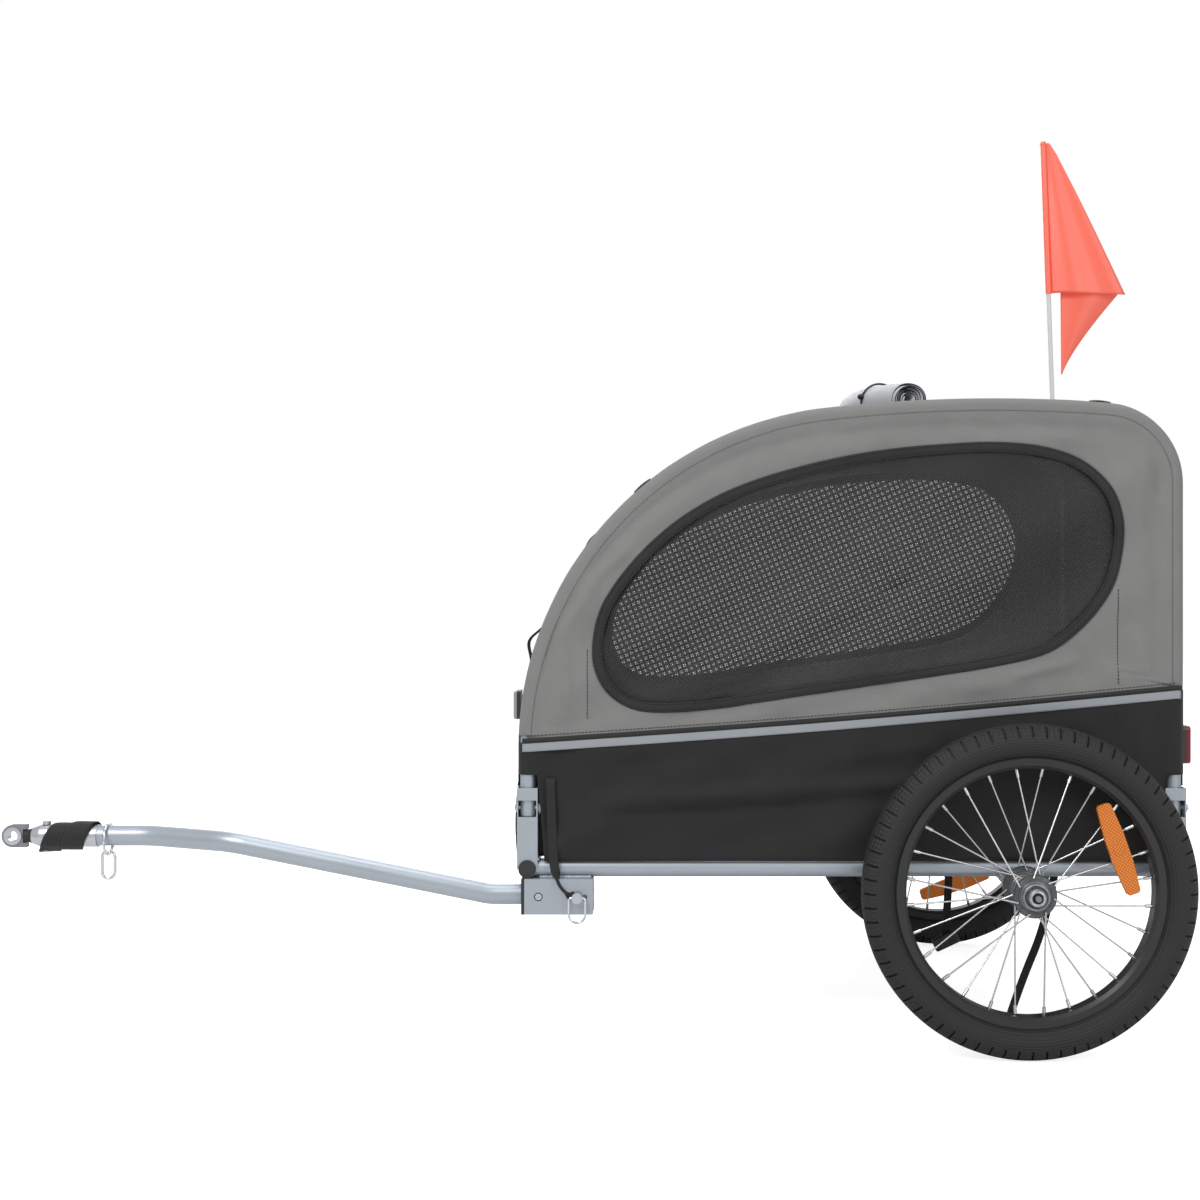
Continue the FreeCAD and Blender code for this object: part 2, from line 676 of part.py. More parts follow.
def hoop():
    path = Part.Wire(hoop_edges(0, FRAME_Y, PIVOT_Z - HOOP_R))
    bar = swept(path, HOOP_R).cut(swept(path, HOOP_R - HOOP_WALL))
    for x in (FRONT_X, REAR_X):
        bar = bar.cut(rod(vec(x - HOOP_D, FRAME_Y, PIVOT_Z), vec(x + HOOP_D, FRAME_Y, PIVOT_Z),
                          PIVOT_BOLT_D / 2 + RUN_FIT))
    return bar


def hoop_face(offset, y, foot_z, rear_r=HOOP_REAR_R):
    edges = hoop_edges(offset, y, foot_z, rear_r)
    close = Part.makeLine(vec(REAR_X - offset, y, foot_z), vec(FRONT_X + offset, y, foot_z))
    return Part.Face(Part.Wire(edges + [close]))


def window_block(inset, y, depth):
    """The side window: the hoop's line drawn in by inset, a sloping sill and two round lower corners."""
    body = hoop_face(-inset, y, PANEL_FOOT_Z, WINDOW_INSET + WINDOW_TOP_R).extrude(vec(0, depth, 0))
    tilt = math.tan(math.radians(WINDOW_SILL_SLOPE))
    extra = inset - WINDOW_INSET
    front_z = WINDOW_SILL_Z - FRONT_X * tilt + extra
    rear_z = WINDOW_SILL_Z - REAR_X * tilt + extra
    below = [vec(FRONT_X, y, front_z), vec(REAR_X, y, rear_z), vec(REAR_X, y, 0), vec(FRONT_X, y, 0)]
    body = body.cut(prism(below, vec(0, depth, 0)))
    corners = [e for e in body.Edges if abs(e.tangentAt(e.FirstParameter).y) > 0.99]
    corners.sort(key=lambda e: e.CenterOfMass.z)
    low = sorted(corners[:2], key=lambda e: e.CenterOfMass.x)
    body = body.makeFillet(WINDOW_REAR_R - extra, [low[0]])
    corners = [e for e in body.Edges if abs(e.tangentAt(e.FirstParameter).y) > 0.99]
    front_low = min(corners, key=lambda e: e.CenterOfMass.z)
    return body.makeFillet(WINDOW_FRONT_R - extra, [front_low])


def save_hoops():
    save_pair("hoop", hoop())
    edge = HOOP_R + 0.3
    sheet = hoop_face(edge, SKIN_Y, PANEL_FOOT_Z).extrude(vec(0, SKIN_T, 0))
    sheet = sheet.cut(window_block(WINDOW_INSET, SKIN_Y, SKIN_T))
    outside = window_block(WINDOW_INSET - BINDING_W / 2, SKIN_SIDE, BINDING_T)
    inside = window_block(WINDOW_INSET + BINDING_W / 2, SKIN_SIDE, BINDING_T)
    save_pair("side_panel", fuse(sheet, outside.cut(inside)))
    save_pair("window_mesh", window_block(WINDOW_INSET + 0.1, SKIN_Y + 0.5, 1.0))


def band(inner, outer, half_width, foot_z):
    """The strip of fabric over both hoops, from the front foot to the rear foot."""
    out_edges = hoop_edges(outer, -half_width, foot_z)
    in_edges = hoop_edges(inner, -half_width, foot_z)
    rear = Part.makeLine(vec(REAR_X - outer, -half_width, foot_z), vec(REAR_X - inner, -half_width, foot_z))
    front = Part.makeLine(vec(FRONT_X + inner, -half_width, foot_z),
                          vec(FRONT_X + outer, -half_width, foot_z))
    wire = Part.Wire(out_edges + [rear] + in_edges[::-1] + [front])
    return Part.Face(wire).extrude(vec(0, 2 * half_width, 0))


def slab(x0, x1):
    return block(x0, x1, -FRAME_WIDTH, FRAME_WIDTH, 0, 2 * HOOP_TOP_Z)


def save_cover():
    strip = band(BAND_IN, BAND_OUT, SKIN_SIDE, PANEL_FOOT_Z)
    hatch = block(HATCH_REAR_X, HATCH_FRONT_X, -HATCH_HALF, HATCH_HALF, PIVOT_Z, 2 * HOOP_TOP_Z)
    save("front_panel", strip.common(slab(ROOF_FRONT_X, FRONT_X + 100)))
    save("roof_panel", strip.common(slab(ROOF_REAR_X, ROOF_FRONT_X)).cut(hatch))
    save("rear_panel", strip.common(slab(REAR_X - 100, ROOF_REAR_X)))
    batten = band(BAND_OUT + SEAT, BAND_OUT + SEAT + BATTEN_T, FRAME_Y, PANEL_FOOT_Z)
    places = (FRONT_BATTEN_X, REAR_BATTEN_X)
    save("roof_battens", *[batten.common(slab(x, x + BATTEN_W)) for x in places])


def save_tub():
    """The black lower walls inside the posts, and the floor board on the cross tubes."""
    foot = RAIL_TOP + SEAT
    top = PANEL_FOOT_Z - MOVE_GAP
    post_gap = POST_W / 2 + 1.5
    wall = block(REAR_X + post_gap, FRONT_X - post_gap, SKIN_Y, SKIN_SIDE, foot, top)
    hem = block(REAR_X + post_gap, FRONT_X - post_gap, FRAME_Y - 3, SKIN_Y, foot, foot + SKIN_T)
    side = fuse(wall, hem)
    save("tub_sides", side, mirrored(side))
    half = FRAME_Y - POST_W / 2 - 1.5
    save("tub_front", block(FRONT_X + BAND_IN, FRONT_X + BAND_OUT, -half, half, foot, top))
    save("tub_rear", block(REAR_X - BAND_OUT, REAR_X - BAND_IN, -half, half, foot, top))
    run = BAND_IN - SEAT
    save("floor_board", block(REAR_X - run, FRONT_X + run, -half, half, foot, foot + FLOOR_T))


def spiral_edges(start_r, turns, growth, y):
    """A spiral about the origin in quarter turns, each an arc over its own middle."""
    count = int(round(turns * 4))
    edges = []
    for quarter in range(count):
        steps = (quarter, quarter + 0.5, quarter + 1)
        places = [polar(start_r + growth * step / 4, 90 * step, y) for step in steps]
        edges.append(Part.Arc(*places).toShape())
    return edges


def save_roll():
    """The rolled-up hatch cover: one strip wound in a spiral, held by two cord ties with toggles."""
    growth = (ROLL_R - SKIN_T - ROLL_CORE_R) / ROLL_TURNS
    thick = growth - ROLL_GAP
    y = -ROLL_LENGTH / 2
    inner = spiral_edges(ROLL_CORE_R, ROLL_TURNS, growth, y)
    outer = spiral_edges(ROLL_CORE_R + thick, ROLL_TURNS, growth, y)
    first = Part.makeLine(polar(ROLL_CORE_R, 0, y), polar(ROLL_CORE_R + thick, 0, y))
    end_angle = 360 * ROLL_TURNS
    end_r = ROLL_CORE_R + growth * ROLL_TURNS
    last = Part.makeLine(polar(end_r + thick, end_angle, y), polar(end_r, end_angle, y))
    wire = Part.Wire(outer + [last] + inner[::-1] + [first])
    print("least gap between the roll's turns", round(ROLL_GAP, 2))
    roll = Part.Face(wire).extrude(vec(0, ROLL_LENGTH, 0))
    roll_x = HATCH_REAR_X + end_r + thick + TIE_D + 2 * SEAT
    roll.translate(vec(roll_x, 0, ROLL_Z))
    save("cover_roll", roll)
    ties = []
    for y in (-TIE_PLACE, TIE_PLACE):
        centre = vec(roll_x, y, ROLL_Z)
        ring_r = end_r + thick + SEAT + TIE_D / 2
        ring = Part.makeTorus(ring_r, TIE_D / 2, centre, Y_AXIS)
        spot = centre + slope(math.radians(60)) * (ring_r + TOGGLE_D / 2)
        toggle = rod(spot - vec(0, TOGGLE_L / 2, 0), spot + vec(0, TOGGLE_L / 2, 0), TOGGLE_D / 2)
        ties.append(fuse(ring, toggle))
    save("roll_ties", *ties)


def reflector(x0, x1, middle_z, height):
    half = REFLECTOR_W / 2
    plate = block(x0, x1, REFLECTOR_PLACE - half, REFLECTOR_PLACE + half, middle_z - height / 2,
                  middle_z + height / 2)
    return plate.makeFillet(3, [e for e in plate.Edges if abs(e.tangentAt(0).x) > 0.9])


def save_reflectors():
    reach = HOOP_FRONT_R + BAND_OUT
    over = max(FRONT_REFLECTOR_Z - REFLECTOR_H / 2 - SHOULDER_Z, 0)
    front = FRONT_X - HOOP_FRONT_R + math.sqrt(reach * reach - over * over) + SEAT
    rear = REAR_X - BAND_OUT - SEAT
    save_pair("front_reflector", reflector(front, front + REFLECTOR_T, FRONT_REFLECTOR_Z, REFLECTOR_H))
    save_pair("rear_reflector", reflector(rear - REFLECTOR_T, rear, REAR_REFLECTOR_Z, REAR_REFLECTOR_H))


# Drawbar and hitch

def drawbar_points():
    start = vec(RECEIVER_X - RECEIVER_L + 6, FRAME_Y, RECEIVER_Z)
    bend = vec(FRONT_X + DRAWBAR_STRAIGHT, FRAME_Y, RECEIVER_Z)
    crest = vec(bend.x + DRAWBAR_RISE_RUN, FRAME_Y, HITCH_Z)
    inset = vec(crest.x + DRAWBAR_INSET_RUN, HITCH_Y, HITCH_Z)
    nose = vec(SLEEVE_REAR + SLEEVE_L - CORE_OVERLAP - 2, HITCH_Y, HITCH_Z)
    return [start, bend, crest, inset, nose]


def across_receiver(x, radius):
    return rod(vec(x, FRAME_Y - RECEIVER_W, RECEIVER_Z), vec(x, FRAME_Y + RECEIVER_W, RECEIVER_Z), radius)


def save_drawbar():
    rear = RECEIVER_X - RECEIVER_L
    half = RECEIVER_W / 2
    low = RECEIVER_TOP - RECEIVER_H
    wall = RECEIVER_WALL
    shell = block(rear, RECEIVER_X, FRAME_Y - half, FRAME_Y + half, low, RECEIVER_TOP)
    inside = block(rear, RECEIVER_X, FRAME_Y - half + wall, FRAME_Y + half - wall, low + wall,
                   RECEIVER_TOP - wall)
    pin_hole = across_receiver(PIN_X, PIN_D / 2 + RUN_FIT)
    screw_x = RECEIVER_X - BUSH_SCREW_BACK
    screw_hole = across_receiver(screw_x, BUSH_SCREW_D / 2 + RUN_FIT)
    face = FRAME_Y + half
    spare_x = RECEIVER_X - SPARE_HOLE_BACK
    spare = rod(vec(spare_x, FRAME_Y, RECEIVER_Z), vec(spare_x, face, RECEIVER_Z), SPARE_HOLE_D / 2)
    recess = rod(vec(screw_x, FRAME_Y, RECEIVER_Z), vec(screw_x, face, RECEIVER_Z), BUSH_SCREW_HEAD_R + 1.2)
    save("drawbar_receiver", shell.cut(inside).cut(pin_hole).cut(screw_hole).cut(recess).cut(spare))

    fit = wall + SEAT
    plug = block(RECEIVER_X - BUSH_L, RECEIVER_X, FRAME_Y - half + fit, FRAME_Y + half - fit,
                 low + fit, RECEIVER_TOP - fit)
    lip = block(RECEIVER_X, RECEIVER_X + BUSH_LIP, FRAME_Y - half, FRAME_Y + half, low, RECEIVER_TOP - SEAT)
    middle = vec(RECEIVER_X, FRAME_Y, RECEIVER_Z)
    bore = rod(middle - vec(BUSH_L, 0, 0), middle + vec(BUSH_LIP, 0, 0), DRAWBAR_R + 0.1)
    save("receiver_bush", fuse(plug, lip).cut(bore).cut(screw_hole).cut(cross_bar(FRONT_X)))
    tip = vec(screw_x, FRAME_Y + DRAWBAR_R + 0.6, RECEIVER_Z)
    seat = vec(screw_x, face - fit + 0.1, RECEIVER_Z)
    head = rod(seat, seat + vec(0, BUSH_SCREW_HEAD_T, 0), BUSH_SCREW_HEAD_R)
    top = seat + vec(0, BUSH_SCREW_HEAD_T, 0)
    socket = rod(top - vec(0, BUSH_SCREW_HEAD_T / 2, 0), top, BUSH_SCREW_D / 4)
    bush_screw = fuse(rod(tip, seat, BUSH_SCREW_D / 2), head).cut(socket)

    path = rounded_path(drawbar_points(), DRAWBAR_BEND_R)
    bar = swept(path, DRAWBAR_R).cut(swept(path, DRAWBAR_R - DRAWBAR_WALL))
    save("drawbar", bar.cut(across_receiver(PIN_X, PIN_D / 2 + RUN_FIT)).cut(spare))
    return bush_screw


def save_lock_pin():
    tail = vec(PIN_X, FRAME_Y - RECEIVER_W / 2 - PIN_TAIL, RECEIVER_Z)
    seat = vec(PIN_X, RECEIVER_FACE + TETHER_T + 2 * SEAT, RECEIVER_Z)
    shank = rod(tail, seat, PIN_D / 2)
    point = Part.makeCone(PIN_D / 4, PIN_D / 2, 4, tail - vec(0, 4, 0), Y_AXIS)
    head = rod(seat, seat + vec(0, PIN_HEAD_L, 0), PIN_HEAD_R)
    eye = seat + vec(0, PIN_HEAD_L / 2, 0)
    reach = vec(PIN_HEAD_R + 1, 0, 0)
    hole = rod(eye - reach, eye + reach, PIN_RING_WIRE / 2 + RUN_FIT)
    save("lock_pin", fuse(shank, point, head).cut(hole))

    wire = PIN_RING_WIRE / 2
    half = PIN_RING_W / 2
    drop = PIN_RING_H - half
    corner = half - PIN_HEAD_R
    low = eye - vec(0, 0, drop)
    across = rod(eye - vec(half - corner, 0, 0), eye + vec(half - corner, 0, 0), wire)
    pieces = [across]
    for sign in (1, -1):
        centre = eye + vec(sign * (half - corner), 0, -corner)
        bend = Part.makeTorus(corner, wire, centre, Y_AXIS)
        x_far = centre.x + sign * 2 * corner
        bend = bend.common(block(min(centre.x, x_far), max(centre.x, x_far), eye.y - 9, eye.y + 9,
                                 centre.z, centre.z + 2 * corner))
        leg = vec(sign * half, 0, 0)
        pieces += [bend, rod(low + leg, eye + leg - vec(0, 0, corner), wire)]
    bow = Part.makeTorus(half, wire, low, Y_AXIS)
    pieces.append(bow.common(block(low.x - 2 * half, low.x + 2 * half, eye.y - 9, eye.y + 9,
                                   low.z - 2 * half, low.z)))
    save("lock_pin_ring", fuse(*pieces))

    out = RECEIVER_FACE + SEAT + TETHER_T / 2
    side = SKIN_SIDE + SEAT + TETHER_T / 2
    top_x = FRONT_X - TETHER_TOP_BACK
    places = [vec(top_x, side, TETHER_TOP_Z), vec(top_x - 3, side, RAIL_TOP + 5),
              vec(top_x - 7, out, RECEIVER_TOP + 6), vec(top_x - 15, out, RECEIVER_Z + 8),
              vec(PIN_X + 6, out, RECEIVER_Z + 1)]
    strap = ribbon(places, TETHER_W, TETHER_T, X_AXIS)
    tab = vec(PIN_X, out - TETHER_T / 2, RECEIVER_Z)
    disc = rod(tab, tab + vec(0, TETHER_T, 0), 9)
    eyelet = rod(tab - vec(0, 2, 0), tab + vec(0, 5, 0), PIN_D / 2 + 0.4)
    save("pin_tether", fuse(strap, disc).cut(eyelet))


def save_hitch(bush_screw):
    middle = vec(HITCH_X, HITCH_Y, HITCH_Z)
    nose = vec(SLEEVE_FRONT, HITCH_Y, HITCH_Z)
    tail = vec(SLEEVE_REAR, HITCH_Y, HITCH_Z)
    bolt_x = SLEEVE_FRONT - HITCH_BOLT_BACK
    foot = vec(bolt_x, HITCH_Y, HITCH_Z - SLEEVE_R)
    crest = vec(bolt_x, HITCH_Y, HITCH_Z + SLEEVE_R)
    bolt_hole = rod(foot - vec(0, 0, 5), crest + vec(0, 0, 5), HITCH_BOLT_D / 2 + RUN_FIT)
    notch = EYE_R - FORK_ARM
    core_r = notch - SEAT
    waist = nose - vec(SLEEVE_TAPER_L, 0, 0)
    taper = Part.makeCone(SLEEVE_R, SLEEVE_TIP_D / 2, SLEEVE_TAPER_L, waist, X_AXIS)
    body = fuse(rod(tail, waist, SLEEVE_R), taper)
    body = body.cut(rod(tail, waist, DRAWBAR_R + 0.1)).cut(rod(waist, nose, core_r + 0.1))
    save("hitch_sleeve", body.cut(bolt_hole))

    head = rod(crest, crest + vec(0, 0, 4), 5)
    nut = prism([foot + vec(5.5 * math.cos(t), 5.5 * math.sin(t), 0)
                 for t in [math.radians(60 * step) for step in range(6)]], vec(0, 0, -5))
    save("drawbar_screws", bush_screw, fuse(rod(foot, crest, HITCH_BOLT_D / 2), head, nut))

    plug = rod(vec(SLEEVE_FRONT - CORE_OVERLAP, HITCH_Y, HITCH_Z), waist - vec(0.1, 0, 0), DRAWBAR_R)
    neck = rod(waist - vec(0.1, 0, 0), vec(HITCH_X - EYE_BORE_D - SEAT, HITCH_Y, HITCH_Z), core_r)
    save("hitch_core", fuse(plug, neck).cut(bolt_hole))

    side = vec(0, EYE_T / 2, 0)
    disc = rod(middle - side, middle + side, EYE_R)
    arms = block(HITCH_X - FORK_REACH, HITCH_X, HITCH_Y - EYE_T / 2, HITCH_Y + EYE_T / 2,
                 HITCH_Z - EYE_R, HITCH_Z + EYE_R)
    gap = block(HITCH_X - FORK_REACH, HITCH_X - EYE_BORE_D, HITCH_Y - EYE_T, HITCH_Y + EYE_T,
                HITCH_Z - notch, HITCH_Z + notch)
    seat = rod(middle - side, middle + side, BUSHING_D / 2)
    save("hitch_eye", fuse(disc, arms).cut(gap).cut(seat))

    lip = vec(0, BUSHING_LIP_T, 0)
    ring = fuse(rod(middle - side, middle + side, BUSHING_D / 2 - 0.02),
                rod(middle + side, middle + side + lip, BUSHING_LIP_R),
                rod(middle - side - lip, middle - side, BUSHING_LIP_R))
    save("hitch_bushing", ring.cut(rod(middle - side - lip, middle + side + lip, EYE_BORE_D / 2)))


def save_safety_strap():
    """Webbing wound round the sleeve, a ring on the drawbar and a link that hangs from the ring."""
    inner = SLEEVE_R + SEAT
    height = STRAP_PITCH * STRAP_TURNS
    spine = Part.makeHelix(STRAP_PITCH, height, inner)
    half = STRAP_W / 2
    corners = [vec(inner, 0, -half), vec(inner + STRAP_T, 0, -half), vec(inner + STRAP_T, 0, half),
               vec(inner, 0, half), vec(inner, 0, -half)]
    winding = Part.Wire(spine).makePipeShell([Part.makePolygon(corners)], True, True)
    winding.rotate(vec(0, 0, 0), Y_AXIS, 90)
    start = SLEEVE_REAR + half + 2
    winding.translate(vec(start, HITCH_Y, HITCH_Z))
    print("least gap between the strap's turns", round(STRAP_PITCH - STRAP_W, 2))
    save("safety_strap", winding)

    wire = STRAP_RING_WIRE / 2
    drop = STRAP_RING_R - wire - DRAWBAR_R - SEAT
    centre = vec(HITCH_X - STRAP_RING_BACK, HITCH_Y, HITCH_Z - drop)
    save("strap_ring", Part.makeTorus(STRAP_RING_R, wire, centre, X_AXIS))

    rest = centre.z - STRAP_RING_R + wire + SEAT
    link = vec(centre.x, HITCH_Y, rest + HOOK_WIRE / 2 - HOOK_L / 2)
    save("snap_link", wire_loop(link, HOOK_W, HOOK_L, HOOK_WIRE))


# Flag and hanging webbing

def pole_at(z):
    return vec(POLE_X + (z - POLE_FOOT_Z) * POLE_SLOPE, POLE_Y, z)


def flag_section(z, start_x, end_x, wave):
    """One level of the pennant: a thin arc that bows sideways by wave."""
    middle = (start_x + end_x) / 2
    half = FLAG_T / 2
    left = [vec(start_x, POLE_Y + half, z), vec(middle, POLE_Y + wave + half, z),
            vec(end_x, POLE_Y + half, z)]
    right = [vec(end_x, POLE_Y - half, z), vec(middle, POLE_Y + wave - half, z),
             vec(start_x, POLE_Y - half, z)]
    edges = [Part.Arc(*left).toShape(), Part.makeLine(left[2], right[0]), Part.Arc(*right).toShape(),
             Part.makeLine(right[2], left[0])]
    return Part.Wire(edges)


def save_flag():
    foot = pole_at(POLE_FOOT_Z)
    top = pole_at(POLE_TOP_Z)
    save("flag_pole", rod(foot, top, POLE_D / 2))

    radius = POLE_D / 2 + RUN_FIT + HOLDER_WALL
    bottom = pole_at(POLE_FOOT_Z - SEAT - HOLDER_WALL)
    holder = rod(bottom, pole_at(POLE_FOOT_Z + HOLDER_DEPTH), radius)
    holder = holder.cut(rod(pole_at(POLE_FOOT_Z - SEAT), pole_at(POLE_FOOT_Z + 2 * HOLDER_DEPTH),
                            POLE_D / 2 + RUN_FIT))
    save("flag_holder", holder)

    root = POLE_D / 2 + 0.6
    fold_z = POLE_TOP_Z - FLAG_HOIST
    tip_z = fold_z - FLAG_DROP
    fold_x = pole_at(fold_z).x
    levels = [(POLE_TOP_Z - 3, pole_at(POLE_TOP_Z).x - root, pole_at(POLE_TOP_Z).x - root - 5, 1.0),
              (POLE_TOP_Z - FLAG_HOIST / 2, pole_at(POLE_TOP_Z - FLAG_HOIST / 2).x - root,
               fold_x - FLAG_FLY * 0.5, FLAG_WAVE),
              (fold_z, fold_x - root, fold_x - FLAG_FLY, -FLAG_WAVE),
              (fold_z - FLAG_DROP / 2, fold_x - root - 5, fold_x - FLAG_FLY * 0.58, FLAG_WAVE),
              (tip_z, fold_x - root - 12, fold_x - root - 17, 1.0)]
    cloth = Part.makeLoft([flag_section(*level) for level in levels], True, True)
    hem = rod(pole_at(fold_z), top, POLE_D / 2 + 1.0).cut(rod(pole_at(fold_z), top, POLE_D / 2 + RUN_FIT))
    save("flag", fuse(hem, cloth))


def save_under_straps():
    """Two loose webbing ends below the floor: a short one with a buckle and a long one near the ground."""
    top = RAIL_TOP
    lead = [vec(56, 100, top), vec(56, 100, 212), vec(58, 100, 150), vec(62, 100, 96)]
    tail = [vec(-74, 150, top), vec(-74, 150, 205), vec(-56, 150, 120), vec(-29, 150, 56), vec(-14, 150, 12)]
    save("under_straps", *[ribbon(places, UNDER_STRAP_W, UNDER_STRAP_T, X_AXIS) for places in (lead, tail)])
    end = lead[-1]
    face = end.y + UNDER_STRAP_T / 2 + SEAT
    half = BUCKLE_W / 2
    low = end.z - BUCKLE_H / 2
    body = block(end.x - half, end.x + half, face, face + BUCKLE_T, low, low + BUCKLE_H)
    body = body.makeFillet(3, body.Edges)
    body.rotate(end, Y_AXIS, BUCKLE_TURN)
    save("strap_buckle", body)


def main():
    os.makedirs("parts", exist_ok=True)
    save_wheels()
    save_base_frame()
    save_posts()
    save_hoops()
    save_cover()
    save_tub()
    save_roll()
    save_reflectors()
    bush_screw = save_drawbar()
    save_lock_pin()
    save_hitch(bush_screw)
    save_safety_strap()
    save_flag()
    save_under_straps()


main()
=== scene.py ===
# %% [markdown]
# # Dressing a dog bike trailer
# The rigid pieces arrive as exact solids: wheels, frame tubes, posts, drawbar and hitch.
# This lesson gives each of them a finish, and makes the soft goods as cloth: the two
# cover sides with their net windows, the roof, front and rear, the rolled hatch cover,
# the webbing and the flag. Lengths are in metres. X points to the hitch, Y to the left.

# %% Load the frame
import bmesh
import bpy
import math
from mathutils import Matrix, Vector, noise


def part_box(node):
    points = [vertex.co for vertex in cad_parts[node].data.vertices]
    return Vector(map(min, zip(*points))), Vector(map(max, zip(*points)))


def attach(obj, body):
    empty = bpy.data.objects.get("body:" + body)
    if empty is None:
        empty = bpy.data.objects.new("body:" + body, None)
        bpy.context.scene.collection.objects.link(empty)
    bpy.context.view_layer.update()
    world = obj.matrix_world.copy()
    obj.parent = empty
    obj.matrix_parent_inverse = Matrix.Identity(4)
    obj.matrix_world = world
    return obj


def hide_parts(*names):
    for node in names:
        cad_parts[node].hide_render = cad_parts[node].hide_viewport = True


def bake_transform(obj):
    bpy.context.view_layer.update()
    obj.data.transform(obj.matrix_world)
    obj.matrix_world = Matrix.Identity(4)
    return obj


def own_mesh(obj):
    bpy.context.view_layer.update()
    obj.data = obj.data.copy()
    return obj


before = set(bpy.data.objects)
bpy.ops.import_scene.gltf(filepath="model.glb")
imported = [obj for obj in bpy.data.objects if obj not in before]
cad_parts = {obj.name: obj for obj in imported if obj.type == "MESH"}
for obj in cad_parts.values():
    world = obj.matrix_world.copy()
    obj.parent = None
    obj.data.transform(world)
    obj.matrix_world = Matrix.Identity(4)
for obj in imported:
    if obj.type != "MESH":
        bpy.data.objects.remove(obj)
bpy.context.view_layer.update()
axle_low, axle_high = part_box("wheel_axles")
AXLE_X = (axle_low[0] + axle_high[0]) / 2
AXLE_Z = ((Vector(axle_low) + Vector(axle_high)) / 2).z
SIDES = (("left", 1), ("right", -1))
print("nodes", len(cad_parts), "axle at", round(AXLE_X, 4))


def at(x, y, z):
    """A place given from the axle line, in the frame's own axes."""
    return Vector((x + AXLE_X, y, z))


# %% [markdown]
# ## Camera and studio
# The photograph looks square at the left side from about two metres, so the camera looks
# along -Y with a normal lens. The horizon lies a little above the middle of the frame and
# the vanishing point right of it, which a small lens shift gives without turning the view.

# %% Camera
lens = bpy.data.cameras.new("camera")
lens.lens = 50.0
lens.sensor_width = 36.0
lens.shift_x = -0.0417
lens.shift_y = -0.0167
camera = bpy.data.objects.new("camera", lens)
camera.location = at(0.451, 2.299, 0.5706)
camera.rotation_euler = (math.radians(90), 0, math.radians(180))
bpy.context.scene.collection.objects.link(camera)
bpy.context.scene.camera = camera
bpy.context.scene.view_settings.view_transform = "Standard"
print("camera at", [round(c, 3) for c in camera.location])


# %% [markdown]
# A finish is a node tree. These helpers keep the trees short: one starts a material, one
# adds a node, sets its values and links whatever is a socket, and the others build on it.

# %% Node helpers
def paint(red, green, blue):
    """A screen colour from 0 to 255 as the linear colour a shader takes."""
    values = []
    for part in (red, green, blue):
        share = part / 255
        values.append(share / 12.92 if share <= 0.04045 else ((share + 0.055) / 1.055) ** 2.4)
    return (*values, 1.0)


def shade(colour, factor):
    return (*[min(1.0, part * factor) for part in colour[:3]], 1.0)


def start(name):
    material = bpy.data.materials.new(name)
    material.use_nodes = True
    return material, material.node_tree, material.node_tree.nodes["Principled BSDF"]


def grow(tree, kind, sockets, **settings):
    node = tree.nodes.new(kind)
    for key, value in settings.items():
        setattr(node, key, value)
    for key, value in sockets.items():
        if isinstance(value, bpy.types.NodeSocket):
            tree.links.new(value, node.inputs[key])
        else:
            node.inputs[key].default_value = value
    return node


def settle(shader, values):
    """Sets plain values, or links sockets, on the inputs of a shader."""
    for key, value in values.items():
        if isinstance(value, bpy.types.NodeSocket):
            shader.id_data.links.new(value, shader.inputs[key])
        else:
            shader.inputs[key].default_value = value


def figure(tree, operation, *values):
    """One step of arithmetic on numbers or sockets."""
    return grow(tree, "ShaderNodeMath", dict(enumerate(values)), operation=operation).outputs[0]


def ramp(tree, value, low, high):
    """Turns a 0 to 1 value into a run between two numbers."""
    node = grow(tree, "ShaderNodeMapRange", {"Value": value, "To Min": low, "To Max": high})
    return node.outputs["Result"]


def tinted(tree, value, dark, light, blend="MIX"):
    """Mixes two colours, or two colour sockets, by a value."""
    node = grow(tree, "ShaderNodeMix", {"Factor": value, "A": dark, "B": light}, data_type="RGBA",
                blend_type=blend)
    return node.outputs["Result"]


# %% [markdown]
# Patterns are made in the object's own coordinates, or in the cloth's UV map. A wave
# texture repeats every 0.314 divided by its scale, which turns a thread's width into a scale.

# %% Pattern helpers
WAVE = 0.314


def object_spot(tree):
    return grow(tree, "ShaderNodeTexCoord", {}).outputs["Object"]


def cloth_spot(tree):
    return grow(tree, "ShaderNodeUVMap", {}, uv_map="cloth").outputs["UV"]


def grain_at(tree, spot, scale, detail, rough=0.5):
    sockets = {"Vector": spot, "Scale": scale, "Detail": detail, "Roughness": rough}
    return grow(tree, "ShaderNodeTexNoise", sockets).outputs["Fac"]


def wave(tree, spot, scale, bands, distortion=0.0):
    sockets = {"Vector": spot, "Scale": scale, "Distortion": distortion}
    return grow(tree, "ShaderNodeTexWave", sockets, bands_direction=bands).outputs["Fac"]


def from_axle(tree, spot):
    """A place seen from the axle, and its distance from the axle line."""
    flat = grow(tree, "ShaderNodeVectorMath", {0: spot, 1: (-AXLE_X, 0, -AXLE_Z)}, operation="ADD").outputs[0]
    level = grow(tree, "ShaderNodeVectorMath", {0: flat, 1: (1, 0, 1)}, operation="MULTIPLY").outputs[0]
    return flat, grow(tree, "ShaderNodeVectorMath", {0: level}, operation="LENGTH").outputs["Value"]


def rings_at(tree, reach, period):
    return figure(tree, "SINE", figure(tree, "MULTIPLY", reach, 2 * math.pi / period))


def emboss(tree, height, strength, distance):
    sockets = {"Height": height, "Strength": strength, "Distance": distance}
    return grow(tree, "ShaderNodeBump", sockets).outputs["Normal"]


# %% [markdown]
# The floor and the world are plain and pale. The world is white where the camera or a
# reflection sees it, and softer where it lights the object, so the metal mirrors a white
# studio while the colours keep their written value.

